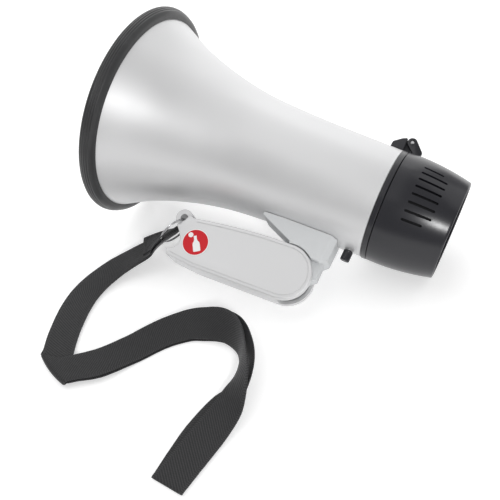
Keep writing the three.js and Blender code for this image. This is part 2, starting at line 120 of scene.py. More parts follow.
class MegaphoneColours(bpy.types.PropertyGroup):
    """Base colours of the finishes."""
    silver: colour("Silver", "Metallic paint of the bell and the grip", (0.66, 0.66, 0.665))
    gloss_black: colour("Gloss black", "Polished cap and collar", (0.0075, 0.0075, 0.008))
    plain_black: colour("Plain black", "Moulded inner parts and hinge", (0.016, 0.016, 0.017))
    rubber: colour("Rubber", "Bumper round the mouth", (0.015, 0.015, 0.016))
    grey: colour("Grey", "Bracket and trigger", (0.60, 0.60, 0.605))
    steel: colour("Steel", "Plated ring, pins and screws", (0.62, 0.62, 0.63))
    webbing: colour("Webbing", "Nylon strap", (0.0155, 0.0155, 0.0165))
    sticker: colour("Sticker", "Round label on the grip", (0.56, 0.004, 0.012))


# ------------------------------------------------------------------ shader graphs
class Wire:
    """A node's output that arithmetic can use: each operator adds its Math node."""

    def __init__(self, graph, socket):
        self.graph = graph
        self.socket = socket

    def math(self, operation, *values):
        """A Math node on these values."""
        return self.graph.add("Math", {"operation": operation}, dict(enumerate(values)))

    def __add__(self, other):
        return self.math("ADD", self, other)

    def __sub__(self, other):
        return self.math("SUBTRACT", self, other)

    def __rsub__(self, other):
        return self.math("SUBTRACT", other, self)

    def __mul__(self, other):
        return self.math("MULTIPLY", self, other)

    def __truediv__(self, other):
        return self.math("DIVIDE", self, other)

    def __rtruediv__(self, other):
        return self.math("DIVIDE", other, self)

    def __abs__(self):
        return self.math("ABSOLUTE", self)

    def sin(self):
        return self.math("SINE", self)

    def ramp(self, low, high, to_low=0.0, to_high=1.0):
        """This value carried smoothly from low..high to to_low..to_high."""
        return self.graph.add("MapRange", {"interpolation_type": "SMOOTHSTEP"},
                              {0: self, 1: low, 2: high, 3: to_low, 4: to_high})

    __radd__ = __add__
    __rmul__ = __mul__


class Finish:
    """A material and its node tree, with one Principled shader."""

    def __init__(self, name, **constants):
        self.material = bpy.data.materials.new(name)
        self.material.use_nodes = True
        self.tree = self.material.node_tree
        self.shader = self.tree.nodes["Principled BSDF"]
        for key, value in constants.items():
            self.set(key.replace("_", " "), value)

    def add(self, kind, settings=None, inputs=None, output=0):
        """A node of this type: its settings first, then its sockets. Gives one of its outputs."""
        node = self.tree.nodes.new("ShaderNode" + kind)
        for key, value in (settings or {}).items():
            setattr(node, key, value)
        for key, value in (inputs or {}).items():
            self.plug(node.inputs[key], value)
        return Wire(self, node.outputs[output])

    def plug(self, socket, value):
        """Links a wire to a socket, or sets the socket to a number or a colour."""
        if isinstance(value, Wire):
            self.tree.links.new(value.socket, socket)
        elif socket.type == "RGBA":
            socket.default_value = (*value, 1.0) if len(value) == 3 else value
        else:
            socket.default_value = value

    def set(self, name, value):
        """A socket of the shader, from a node's output or as a constant."""
        self.plug(self.shader.inputs[name], value)

    def place(self):
        """Object coordinates."""
        return self.add("TexCoord", output="Object")

    def axes(self, vector):
        """A vector's three parts."""
        split = self.add("SeparateXYZ", inputs={0: vector})
        return [Wire(self, socket) for socket in split.socket.node.outputs]

    def noise(self, vector, scale, detail=2.0, roughness=0.5):
        """Smooth noise from 0 to 1."""
        settings = {"Vector": vector, "Scale": scale, "Detail": detail, "Roughness": roughness}
        return self.add("TexNoise", inputs=settings)

    def stretched(self, vector, scale):
        """Coordinates stretched along each axis."""
        return self.add("Mapping", inputs={"Vector": vector, "Scale": scale})

    def mix(self, factor, a, b):
        """Colours a and b mixed."""
        return self.add("Mix", {"data_type": "RGBA"}, {0: factor, 6: a, 7: b}, output=2)

    def bump(self, height, strength, distance):
        """Relief on the surface, in metres."""
        normal = self.add("Bump", inputs={"Height": height, "Strength": strength, "Distance": distance})
        self.set("Normal", normal)


def shade(value, factor):
    """A colour made darker or lighter."""
    return tuple(min(1.0, part * factor) for part in value)


# ------------------------------------------------------------------ finishes
def silver_paint(colours):
    """Satin metallic paint on moulded plastic: fine flake, faint moulding waves."""
    finish = Finish("silver_paint", Metallic=0.6, IOR=1.45, Coat_Weight=0.12, Coat_Roughness=0.25)
    place = finish.place()
    flake = finish.noise(place, 5200.0, 1.0)
    cloud = finish.noise(place, 18.0, 3.0)
    tone = flake * 0.55 + cloud * 0.45
    finish.set("Base Color", finish.mix(tone, shade(colours.silver, 0.93), shade(colours.silver, 1.06)))
    finish.set("Roughness", cloud.ramp(0.3, 0.7, 0.42, 0.49))
    finish.bump(flake, 0.25, 0.00002)


def gloss_black(colours):
    """Polished black plastic with faint hairline scuffs."""
    finish = Finish("gloss_black", IOR=1.52, Coat_Weight=0.55, Coat_Roughness=0.05)
    place = finish.place()
    scuffs = finish.noise(finish.stretched(place, (260.0, 1400.0, 1400.0)), 1.0, 4.0, 0.7)
    haze = finish.noise(place, 30.0, 3.0)
    finish.set("Base Color", finish.mix(haze, colours.gloss_black, shade(colours.gloss_black, 1.6)))
    finish.set("Roughness", scuffs.ramp(0.45, 0.8, 0.08, 0.2))
    finish.bump(scuffs, 0.12, 0.00001)


def moulded(name, base, grain=1600.0, roughness=(0.42, 0.55)):
    """Moulded plastic with a fine spark-eroded grain."""
    finish = Finish(name, IOR=1.47)
    place = finish.place()
    texture = finish.noise(place, grain, 2.0, 0.6)
    cloud = finish.noise(place, 25.0, 2.0)
    finish.set("Base Color", finish.mix(cloud, shade(base, 0.9), shade(base, 1.1)))
    finish.set("Roughness", texture.ramp(0.3, 0.7, *roughness))
    finish.bump(texture, 0.35, 0.00004)


def ribbed_rubber(colours):
    """Satin black rubber, slightly dusty in its ribs."""
    finish = Finish("ribbed_rubber", IOR=1.5, Sheen_Weight=0.12, Sheen_Roughness=0.5)
    place = finish.place()
    pores = finish.noise(place, 2600.0, 3.0, 0.65)
    dust = finish.noise(place, 60.0, 4.0, 0.6)
    finish.set("Base Color", finish.mix(dust.ramp(0.45, 0.8), colours.rubber, shade(colours.rubber, 1.9)))
    finish.set("Roughness", dust.ramp(0.3, 0.7, 0.34, 0.5))
    finish.bump(pores, 0.3, 0.00005)


def plated_steel(colours, name="plated_steel", roughness=0.22, base=None):
    """Plated steel wire and fasteners with fine drawn lines."""
    finish = Finish(name, Metallic=1.0)
    place = finish.place()
    lines = finish.noise(finish.stretched(place, (3000.0, 300.0, 3000.0)), 1.0, 3.0)
    tarnish = finish.noise(place, 200.0, 4.0, 0.6)
    base = base or colours.steel
    finish.set("Base Color", finish.mix(tarnish.ramp(0.5, 0.8), base, shade(base, 0.72)))
    finish.set("Roughness", lines.ramp(0.2, 0.8, roughness * 0.8, roughness * 1.5))
    finish.bump(lines, 0.15, 0.00001)


def woven_nylon(colours, width):
    """Black webbing: diagonal ribs of warp over weft, and a bound selvedge along both edges."""
    finish = Finish("woven_nylon", IOR=1.48, Sheen_Weight=0.22, Sheen_Roughness=0.35,
                    Sheen_Tint=(0.6, 0.6, 0.62))
    strip = finish.add("Attribute", {"attribute_name": "strip"}, output="Vector")
    across, along, _ = finish.axes(strip)
    edge = abs(across).ramp(width / 2 - 0.0022, width / 2 - 0.0016)
    yarn = (across * 5200.0).sin()
    pick = (along * 4200.0 + (across * 1450.0)).sin()
    ribs = ((along + across * 0.8) * 3400.0).sin() * 0.5 + 0.5
    twill = (yarn * pick) * 0.25 + ribs * 0.75
    bound = (along * 5200.0).sin() * 0.5 + 0.5
    weave = twill * (1.0 - edge) + bound * edge
    fuzz = finish.noise(finish.place(), 900.0, 4.0, 0.7)
    tone = weave * 0.6 + fuzz * 0.4
    finish.set("Base Color", finish.mix(tone, shade(colours.webbing, 0.55), shade(colours.webbing, 2.1)))
    finish.set("Roughness", tone.ramp(0.2, 0.8, 0.78, 0.55))
    finish.bump(weave * 0.8 + fuzz * 0.2, 0.8, 0.00018)


def printed_label(colours):
    """Glossy printed label."""
    finish = Finish("printed_label", IOR=1.4, Coat_Weight=0.1, Coat_Roughness=0.3)
    place = finish.place()
    ink = finish.noise(place, 700.0, 2.0)
    finish.set("Base Color", finish.mix(ink, shade(colours.sticker, 0.94), shade(colours.sticker, 1.08)))
    finish.set("Roughness", ink.ramp(0.2, 0.8, 0.5, 0.6))
    finish.bump(ink, 0.1, 0.00001)


def plain_print(name, base):
    """Matt ink on a printed label."""
    finish = Finish(name, IOR=1.45)
    ink = finish.noise(finish.place(), 1500.0, 2.0)
    finish.set("Base Color", finish.mix(ink, shade(base, 0.93), base))
    finish.set("Roughness", ink.ramp(0.2, 0.8, 0.4, 0.5))


def circuit_board():
    """Green solder mask over copper tracks."""
    finish = Finish("circuit_board", IOR=1.5)
    place = finish.place()
    _, y, z = finish.axes(place)
    grid = ((y * 900.0).sin() * (z * 900.0).sin()).ramp(0.35, 0.5)
    pads = finish.add("TexVoronoi", {"feature": "F1"}, {"Vector": place, "Scale": 320.0}).ramp(0.18, 0.14)
    tracks = finish.mix(grid, (0.02, 0.10, 0.035), (0.05, 0.20, 0.06))
    finish.set("Base Color", finish.mix(pads, tracks, (0.55, 0.5, 0.42)))
    finish.set("Roughness", pads.ramp(0.0, 1.0, 0.35, 0.25))
    finish.bump(grid, 0.3, 0.00005)


def cell_wrapper(name, base):
    """Printed metal can: a coloured jacket with lighter rubbed patches."""
    finish = Finish(name, Metallic=0.6, IOR=1.5)
    place = finish.place()
    rub = finish.noise(place, 500.0, 4.0, 0.7)
    finish.set("Base Color", finish.mix(rub.ramp(0.55, 0.8), base, shade(base, 1.8)))
    finish.set("Roughness", rub.ramp(0.2, 0.8, 0.25, 0.45))


def diaphragm_film():
    """Amber phenolic film."""
    finish = Finish("diaphragm_film", IOR=1.5)
    fibres = finish.noise(finish.place(), 800.0, 4.0, 0.7)
    finish.set("Base Color", finish.mix(fibres, (0.42, 0.25, 0.09), (0.6, 0.42, 0.2)))
    finish.set("Roughness", fibres.ramp(0.2, 0.8, 0.3, 0.5))


class MEGAPHONE_OT_finishes(bpy.types.Operator):
    """Makes the materials of every piece"""
    bl_idname = "megaphone.finishes"
    bl_label = "Finishes"

    def execute(self, context):
        colours = context.scene.megaphone_colours
        silver_paint(colours)
        gloss_black(colours)
        moulded("black_plastic", tuple(colours.plain_black), 2200.0, (0.36, 0.5))
        moulded("grey_plastic", tuple(colours.grey), 2600.0, (0.38, 0.46))
        ribbed_rubber(colours)
        plated_steel(colours)
        plated_steel(colours, "brass_contact", 0.3, (0.70, 0.50, 0.18))
        # Near-black matt sheet inside the rear cap: painted shade behind the louvres.
        moulded("dust_cloth", (0.008, 0.008, 0.009), 1500.0, (0.8, 0.95))
        moulded("dark_iron", (0.06, 0.06, 0.065), 900.0, (0.4, 0.6))
        woven_nylon(colours, in_mm(context.scene.megaphone_sizes.strap_width) * MM)
        printed_label(colours)
        plain_print("label_white", (0.86, 0.86, 0.85))
        moulded("red_plastic", (0.5, 0.012, 0.02), 2000.0, (0.35, 0.45))
        circuit_board()
        cell_wrapper("cell_wrapper", (0.05, 0.12, 0.34))
        diaphragm_film()
        return {"FINISHED"}


# ------------------------------------------------------------------ mesh helpers
def catmull(points, steps):
    """A smooth line through 2-D or 3-D points, with this many steps on each span."""
    points = [np.array(p, float) for p in points]
    padded = [2 * points[0] - points[1], *points, 2 * points[-1] - points[-2]]
    line = []
    for i in range(1, len(padded) - 2):
        before, start, end, after = padded[i - 1:i + 3]
        for k in range(steps):
            t = k / steps
            square = (2 * before - 5 * start + 4 * end - after) * t ** 2
            cube = (3 * start - before - 3 * end + after) * t ** 3
            line.append(0.5 * (2 * start + (end - before) * t + square + cube))
    return line + [points[-1]]


def arc(x, z, radius, start, end, steps):
    """Points on an arc, angles in degrees."""
    angles = [math.radians(start + (end - start) * i / steps) for i in range(steps + 1)]
    return [(x + radius * math.cos(a), z + radius * math.sin(a)) for a in angles]


def new_object(name, vertices, faces, matrix=None, sharp=35.0):
    """A mesh object from millimetres in a local frame, shaded smooth up to an angle."""
    mesh = bpy.data.meshes.new(name)
    mesh.from_pydata([tuple(c * MM for c in v) for v in vertices], [], faces)
    mesh.validate()
    piece = bpy.data.objects.new(name, mesh)
    bpy.context.scene.collection.objects.link(piece)
    piece.matrix_world = matrix if matrix is not None else HORN
    tidy_normals(mesh)
    smooth(mesh, sharp)
    return piece


def tidy_normals(mesh):
    """Merges doubled points and turns every face outwards."""
    edit = bmesh.new()
    edit.from_mesh(mesh)
    bmesh.ops.remove_doubles(edit, verts=edit.verts, dist=1e-7)
    bmesh.ops.recalc_face_normals(edit, faces=edit.faces)
    edit.to_mesh(mesh)
    edit.free()


def smooth(mesh, sharp):
    """Shades a mesh smooth, with edges over this many degrees left sharp."""
    mesh.shade_smooth()
    mesh.set_sharp_from_angle(angle=math.radians(sharp))


def turned(name, profile, segments=96, matrix=None, sharp=35.0, ripple=None):
    """A profile of (x, radius) points turned about X: it ends on the axis, or closes on itself."""
    vertices, rings = [], []
    for x, r in profile:
        if r < 1e-6:
            rings.append([len(vertices)])
            vertices.append((x, 0.0, 0.0))
            continue
        rings.append(list(range(len(vertices), len(vertices) + segments)))
        for i in range(segments):
            a = 2 * math.pi * i / segments
            radius = r + (ripple(x, r, a) if ripple else 0.0)
            vertices.append((x, radius * math.cos(a), radius * math.sin(a)))
    closed = len(rings[0]) > 1
    faces = []
    for k in range(len(rings) - (0 if closed else 1)):
        a, b = rings[k], rings[(k + 1) % len(rings)]
        for i in range(segments):
            j = (i + 1) % segments
            quad = [a[i % len(a)], a[j % len(a)], b[j % len(b)], b[i % len(b)]]
            face = list(dict.fromkeys(quad))
            if len(face) > 2:
                faces.append(face)
    return new_object(name, vertices, faces, matrix, sharp)


def prism(name, outline, y0, y1, matrix=None):
    """An outline in X-Z with its thickness along Y."""
    count = len(outline)
    vertices = [(x, y, z) for y in (y0, y1) for x, z in outline]
    sides = [(i, (i + 1) % count, count + (i + 1) % count, count + i) for i in range(count)]
    return new_object(name, vertices, [tuple(range(count)), tuple(range(count, 2 * count)), *sides], matrix)


def block(name, low, high, matrix=None):
    """A box between two corners."""
    corners = [(x, y, z) for x in (low[0], high[0]) for y in (low[1], high[1]) for z in (low[2], high[2])]
    faces = [(0, 1, 3, 2), (4, 6, 7, 5), (0, 4, 5, 1), (2, 3, 7, 6), (0, 2, 6, 4), (1, 5, 7, 3)]
    return new_object(name, corners, faces, matrix)


def bar(name, start, end, radius, segments=24, matrix=None):
    """A round bar between two points."""
    start, end = Vector(start), Vector(end)
    turn = Vector((0, 0, 1)).rotation_difference(end - start)
    rings = []
    for centre in (start, end):
        for i in range(segments):
            a = 2 * math.pi * i / segments
            rings.append(centre + turn @ Vector((radius * math.cos(a), radius * math.sin(a), 0)))
    sides = [(i, (i + 1) % segments, segments + (i + 1) % segments, segments + i) for i in range(segments)]
    faces = [tuple(range(segments)), tuple(range(segments, 2 * segments)), *sides]
    return new_object(name, [tuple(v) for v in rings], faces, matrix)


def swept(name, path, section, matrix=None, sharp=50.0):
    """A section of (across, up) points carried along a path, with flat ends."""
    path = [Vector(p) for p in path]
    count = len(path)
    vertices = []
    previous = None
    for i, point in enumerate(path):
        tangent = (path[min(i + 1, count - 1)] - path[max(i - 1, 0)]).normalized()
        if previous is None:
            previous = tangent.orthogonal().normalized()
        across = (previous - tangent * previous.dot(tangent)).normalized()
        previous = across
        up = tangent.cross(across)
        vertices += [tuple(point + across * a + up * b) for a, b in section]
    n = len(section)
    faces = []
    for i in range(count - 1):
        a, b = i * n, (i + 1) * n
        faces += [(a + k, a + (k + 1) % n, b + (k + 1) % n, b + k) for k in range(n)]
    faces += [tuple(range(n)), tuple(range((count - 1) * n, count * n))]
    return new_object(name, vertices, faces, matrix, sharp)


def round_section(radius, count):
    """A round wire's section."""
    return arc(0, 0, radius, 0, 360, count)[:-1]


def bake_modifiers(piece):
    """The piece with its modifiers applied."""
    bpy.context.view_layer.update()
    result = bpy.data.meshes.new_from_object(piece.evaluated_get(bpy.context.evaluated_depsgraph_get()))
    piece.modifiers.clear()
    piece.data = result
    return piece


def combine(piece, tools, operation="DIFFERENCE"):
    """Cuts the tools from the piece, or joins them to it, and removes the tools."""
    for tool in tools:
        step = piece.modifiers.new("cut", "BOOLEAN")
        step.operation = operation
        step.solver = "EXACT"
        step.object = tool
    bake_modifiers(piece)
    for tool in tools:
        bpy.data.objects.remove(tool)
    return piece


def rounded(piece, width, segments=3, angle=40.0):
    """The piece with its sharp edges rounded."""
    step = piece.modifiers.new("round", "BEVEL")
    step.width = width * MM
    step.segments = segments
    step.limit_method = "ANGLE"
    step.angle_limit = math.radians(angle)
    step.use_clamp_overlap = True
    step.harden_normals = False
    bake_modifiers(piece)
    smooth(piece.data, 35.0)
    return piece


def finished(piece, material, body, slot, *nodes):
    """The piece in its finish, drawn in the row frame, riding on its body and standing for its CAD nodes."""
    if not piece.data.polygons:
        raise RuntimeError(f"{piece.name} was cut away")
    piece.data.transform(piece.matrix_world)
    piece.matrix_world = Matrix.Identity(4)
    piece.data.materials.clear()
    piece.data.materials.append(bpy.data.materials[material])
    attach(piece, body)
    if nodes:
        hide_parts(*nodes)
    return piece


def refinish(material, *nodes):
    """CAD nodes whose shape stays, in a better material."""
    for name in nodes:
        node = frame["nodes"][name]
        for holder in node.material_slots:
            holder.material = bpy.data.materials[material]


# ------------------------------------------------------------------ horn
MOUTH_RADIUS = 77.5
LIP_X = -184.5
FRONT_X = LIP_X - 7.8
BELL_OUTLINE = [(0, 37.8), (-54, 39.4), (-91, 41.8), (-113, 45.1), (-131, 49.4), (-149, 55.0), (-165, 61.6),
                (LIP_X, 71.8)]


def bell_profile(wall):
    """Section of the flared bell: its outer line, the lip, and its inner line back."""
    outer = [tuple(p) for p in catmull(BELL_OUTLINE, 8)]
    inner = [(x, r - wall) for x, r in reversed(outer)]
    lip = [(LIP_X - 0.25, BELL_OUTLINE[-1][1] - 0.5), (LIP_X - 0.25, BELL_OUTLINE[-1][1] - wall + 0.5)]
    return outer + lip + inner


def bumper_profile(depth, pitch=1.55, first=5.2):
    """Section of the rubber bumper: a smooth cove beside the bell, fine ribs outside it, a flat front."""
    lip = BELL_OUTLINE[-1][1]
    back = catmull([
        (LIP_X + 3.0, lip - 0.3), (LIP_X + 2.4, lip + 2.0), (LIP_X + 0.9, MOUTH_RADIUS - 1.7),
        (LIP_X - 1.2, MOUTH_RADIUS - 0.55), (LIP_X - 3.4, MOUTH_RADIUS), (LIP_X - 5.8, MOUTH_RADIUS - 0.7),
        (FRONT_X + 0.2, MOUTH_RADIUS - 3.0)], 9)
    line, travelled = [(LIP_X + 3.0, lip - 1.2)], 0.0
    for i, point in enumerate(back):
        step = point - back[i - 1] if i else np.array([-0.1, 1.0])
        travelled += float(np.hypot(*step)) if i else 0.0
        out = np.array([step[1], -step[0]]) / np.hypot(*step)
        groove = 0.5 - 0.5 * math.cos(2 * math.pi * (travelled - first) / pitch) if travelled > first else 0.0
        line.append(tuple(point - depth * groove * out))
    return line + [
        (FRONT_X, MOUTH_RADIUS - 4.2), (FRONT_X, MOUTH_RADIUS - 6.8), (FRONT_X + 0.8, MOUTH_RADIUS - 8.2),
        (FRONT_X + 2.6, MOUTH_RADIUS - 9.3), (LIP_X - 1.6, MOUTH_RADIUS - 9.8),
        (LIP_X - 0.7, MOUTH_RADIUS - 9.4), (LIP_X - 0.4, lip - 1.4)]


class MEGAPHONE_OT_horn(bpy.types.Operator):
    """Builds the silver bell and the rubber bumper round its mouth"""
    bl_idname = "megaphone.horn"
    bl_label = "Horn"

    def execute(self, context):
        sizes = context.scene.megaphone_sizes
        bell = turned("horn", bell_profile(in_mm(sizes.wall)), 192)
        finished(bell, "silver_paint", "megaphone", "silver_plastic", "horn_bell")
        bumper = turned("mouth_bumper", bumper_profile(in_mm(sizes.rib_depth)), 192, sharp=60.0)
        finished(bumper, "ribbed_rubber", "megaphone", "rubber", "rim_bumper")
        return {"FINISHED"}


class MEGAPHONE_OT_sound_path(bpy.types.Operator):
    """Builds the throat, the reflector cup and its ribs, and finishes the driver parts behind them"""
    bl_idname = "megaphone.sound_path"
    bl_label = "Sound path"

    def execute(self, context):
        outer = [(-100, 29), (-106, 30.5), (-112, 31), (-120, 30.4), (-128, 28), (-134, 23.6), (-139, 17.8),
                 (-141.3, 12), (-142, 6), (-142.2, 0)]
        inner = [(-140.2, 0), (-140, 6), (-137, 17), (-132, 22.6), (-127, 26), (-112, 29), (-100, 27.4)]
        cup = turned("reflector", inner + outer, 96)
        ribs = []
        for i in range(3):
            rib = block("rib", (-123, -1, 10.8), (-104, 1, 29.4))
            rib.data.transform(Matrix.Rotation(2 * math.pi * i / 3 + math.pi / 2, 4, "X"))
            ribs.append(rounded(rib, 0.3, 1))
        hub = turned("hub", [(-123, 13.2), (-104, 13.2), (-104, 10.8), (-123, 10.8)], 48)
        cup = combine(cup, ribs + [hub], "UNION")
        smooth(cup.data, 35)
        finished(cup, "black_plastic", "megaphone", "black_plastic", "reflector_cup")
        throat = turned("throat", [
            (-98.3, 12), (-99.8, 12), (-100, 11.8), (-100, 9.6), (-123.8, 10.5), (-124, 10.3), (-124, 8.5),
            (-98.3, 7)], 64)
        finished(throat, "black_plastic", "megaphone", "black_plastic", "throat_tube")
        refinish("black_plastic", "bulkhead", "driver_frame", "battery_tray", "trigger_switch",
                 "switch_frame")
        refinish("dark_iron", "driver_magnet", "output_transformer")
        refinish("diaphragm_film", "driver_diaphragm")
        refinish("cell_wrapper", "battery_1", "battery_2", "battery_3", "battery_4", "filter_capacitor")
        refinish("brass_contact", "front_contact_plate", "rear_contact_plate")
        refinish("circuit_board", "amplifier_board", "control_board")
        refinish("plated_steel", "battery_spring_1", "battery_spring_2", "volume_pot", "mic_capsule",
                 "trigger_spring", "bracket_screw_1", "bracket_screw_2", "handle_pivot_pin")
        return {"FINISHED"}


# ------------------------------------------------------------------ rear cap
CAP_OUTLINE = [(4.5, 38.25), (16, 38.1), (28, 37.0), (39, 35.2), (47.4, 33.35)]
HINGE = (2.1, 45.1)
HINGE_RADIUS = 3.4
PIN_RADIUS = 1.3
LOUVRE_COUNT = 8
LOUVRE_PITCH = 8.7
LOUVRE_FIRST = -24.2
LOUVRE_WIDTH = 1.6
LOUVRE_SPAN = (18.2, 35.6)


def louvre_cutters():
    """Round-ended slots through the cap, eight to a side, in one mesh."""
    cutters = []
    half = LOUVRE_WIDTH / 2
    for side in (1, -1):
        for i in range(LOUVRE_COUNT):
            end = LOUVRE_SPAN[1] - (4 if i in (0, LOUVRE_COUNT - 1) else 0)
            outline = arc(end - half, 0, half, -90, 90, 6) + arc(LOUVRE_SPAN[0] + half, 0, half, 90, 270, 6)
            slot = prism("slot", outline, 30, 42)
            turn = math.radians(LOUVRE_FIRST + i * LOUVRE_PITCH)
            # The prism stands along +Y; it is turned about X to its own side of the cap.
            slot.data.transform(Matrix.Rotation(-side * turn + (math.pi if side > 0 else 0), 4, "X"))
            cutters.append(slot)
    return join_meshes("slots", cutters)


def join_meshes(name, parts):
    """Several closed meshes as one object."""
    edit = bmesh.new()
    for part in parts:
        edit.from_mesh(part.data)
    mesh = bpy.data.meshes.new(name)
    edit.to_mesh(mesh)
    edit.free()
    piece = bpy.data.objects.new(name, mesh)
    bpy.context.scene.collection.objects.link(piece)
    piece.matrix_world = parts[0].matrix_world.copy()
    for part in parts:
        bpy.data.objects.remove(part)
    return piece


class MEGAPHONE_OT_rear_cap(bpy.types.Operator):
    """Builds the black collar, the slotted rear cap, its hinge and its rear face"""
    bl_idname = "megaphone.rear_cap"
    bl_label = "Rear cap"

    def execute(self, context):
        section = [(0.3, 37.9), (0.7, 38.4), (3.5, 38.4), (4.0, 37.9), (4.0, 34.6), (0.3, 34.6)]
        collar = turned("collar", section, 160)
        finished(collar, "gloss_black", "megaphone", "gloss_black", "rear_collar")
        self.build_cap(in_mm(context.scene.megaphone_sizes.wall))
        self.build_hinge()
        self.build_face()
        return {"FINISHED"}

    def build_cap(self, wall):
        """The slotted cap with its hinge ears, and a near-black sheet just inside it that paints the shade behind
        its slots.
        """
        outer = [tuple(p) for p in catmull(CAP_OUTLINE, 8)]
        inner = [(x, r - wall) for x, r in reversed(outer)]
        rim = [(47.9, 33.0), (48.1, 32.5), (48.0, 31.7)]
        cap = turned("cap", [(4.3, 37.9)] + outer + rim + inner + [(4.3, 36.3)], 160)
        x, z = HINGE
        ears = []
        for low, high in ((5.3, 8.5), (-8.5, -5.3)):
            outline = arc(x, z, HINGE_RADIUS, 51.6, 234, 20)
            outline += [(4.8, 38.2), (5.2, 37), (10.6, 37), (11, 40.4)]
            ears.append(rounded(prism("ear", outline, low, high), 0.45, 3))
        combine(cap, ears, "UNION")
        bore = bar("bore", (x, -9, z), (x, 9, z), PIN_RADIUS + 0.3, 32)
        combine(cap, [louvre_cutters(), bore])
        smooth(cap.data, 30)
        finished(cap, "gloss_black", "rear_cap", "gloss_black", "rear_cap")
        refinish("black_plastic", "cap_bulkhead")
        # A near-black sheet just behind the slots: painted shade, standing for the dark inside of the cap.
        lining = [(x, r - wall - 0.35) for x, r in catmull(CAP_OUTLINE, 4) if 12 < x < 43]
        screen = turned("painted_shade_screen", lining + [(x, r - 0.4) for x, r in reversed(lining)], 160)
        finished(screen, "dust_cloth", "rear_cap", "black_plastic")

    def build_hinge(self):
        """The hinge's base on the body, and its pin."""
        x, z = HINGE
        outline = [(-10.7, 36), (-10.4, 41.8), (-5, 46), (-2.6, 47.0), (-1.6, 46.8), (-1.6, 36)]
        base = rounded(prism("hinge_base", outline, -8.5, 8.5), 0.7, 3)
        outline = arc(x, z, HINGE_RADIUS, -28, 126, 20) + [(-2.4, 46), (-2.4, 36), (2.4, 36), (3, 41)]
        knuckle = prism("knuckle", outline, -5, 5)
        combine(base, [rounded(knuckle, 0.35, 2)], "UNION")
        space = turned("space", [(-20, 0), (-20, 38.7), (20, 38.7), (20, 0)], 128)
        bore = bar("bore", (x, -9, z), (x, 9, z), PIN_RADIUS + 0.3, 32)
        ribs = [block("rib", (-9.4, y - 0.4, 43.2), (-6.0, y + 0.4, 49)) for y in (-5.4, 0, 5.4)]
        combine(base, [space, bore] + ribs)
        smooth(base.data, 30)
        finished(base, "black_plastic", "megaphone", "black_plastic", "cap_hinge_base")
        section = [(-8.8, 0), (-8.8, 0.9), (-8.4, PIN_RADIUS), (8.4, PIN_RADIUS), (8.8, 0.9), (8.8, 0)]
        pin = turned("hinge_pin", section, 32, seated(HORN, (x, 0, z), 90, "Z"))
        finished(pin, "plated_steel", "megaphone", "steel", "cap_hinge_pin")

    def build_face(self):
        """The rear face with the microphone's mesh and the slider."""
        face = turned("rear_face", [
            (43.5, 0), (43.5, 31.4), (45.6, 31.4), (46, 31), (46, 29.2), (45.6, 28.8), (45.6, 13.4), (46, 13),
            (46, 0)], 128)
        cuts = [turned("hole", [(42, 0), (42, 9.3), (47, 9.3), (47, 0)], 64),
                block("slot", (42, -6, -21.6), (47, 6, -18.4))]
        combine(face, cuts)
        smooth(face.data, 35)
        finished(face, "black_plastic", "rear_cap", "gloss_black", "end_plate")
        dome = [(44.6, 0), (44.6, 9), (45.7, 9), (46, 8.6), (46.3, 4), (46.4, 0)]
        grille = turned("microphone_mesh", dome, 96)
        places = [(0.0, 0.0)] + arc(0, 0, 2.7, 0, 360, 6)[:-1] + arc(0, 0, 5.4, 0, 360, 12)[:-1]
        drills = [bar("drill", (43, y, z), (48, y, z), 0.62, 12) for y, z in places]
        combine(grille, [join_meshes("drills", drills)])
        smooth(grille.data, 35)
        finished(grille, "plated_steel", "rear_cap", "steel", "mic_grille")
        slider = rounded(block("slider", (43, -2.4, -21.2), (47.1, 2.4, -18.8)), 0.4, 2)
        grooves = [block("groove", (46.7, y - 0.3, -22), (49, y + 0.3, -18)) for y in (-1.2, 0.0, 1.2)]
        foot = block("foot", (38, -2.4, -22.4), (43.2, 2.4, -17.6))
        combine(slider, [foot], "UNION")
        combine(slider, grooves)
        smooth(slider.data, 35)
        finished(slider, "red_plastic", "mode_slider", "red_plastic", "mode_slider")


class MEGAPHONE_OT_volume_knob(bpy.types.Operator):
    """Builds the fluted volume knob under the body"""
    bl_idname = "megaphone.volume_knob"
    bl_label = "Volume knob"

    def execute(self, context):
        def flutes(x, r, a):
            return -0.14 * (0.5 - 0.5 * math.cos(18 * a)) if 0.6 < x < 6.6 and r > 2.9 else 0.0

        seat = seated(HORN, (-7.6, 0, -38.6), 90, "Y")
        profile = [(0, 0), (0, 2.9), (0.5, 3.2), (0.7, 3.2), (3.0, 3.2), (6.5, 3.2), (6.8, 3.15), (7.2, 2.9),
                   (7.4, 2.5), (7.4, 0)]
        knob = turned("knob", profile, 144, seat, 40, flutes)
        combine(knob, [block("pointer", (6.9, -0.3, 0.4), (8, 0.3, 4), seat)])
        smooth(knob.data, 40)
        finished(knob, "gloss_black", "volume_knob", "gloss_black", "volume_knob")
        return {"FINISHED"}


# ------------------------------------------------------------------ grip
GRIP_END = 18.5
GRIP_HALF = 13.0
LUG = (-80.0, 15.6)
LUG_RADIUS = 6.2
LUG_HOLE = 2.7
LUG_HALF = 6.0
TONGUE_HALF = 6.0
SCREWS = [(-22, -11.5), (-66, -9.5), (-66, 9.5)]
TRIGGER = (-62.0, -27.0)  # front and rear ends of the trigger along the grip
LABEL_X = -63.3


def quad_curve(start, middle, end, steps=8):
    """Points after the start on a quadratic curve."""
    points = []
    for i in range(1, steps + 1):
        t = i / steps
        parts = zip(start, middle, end)
        points.append(tuple((1 - t) ** 2 * a + 2 * t * (1 - t) * b + t * t * c for a, b, c in parts))
    return points


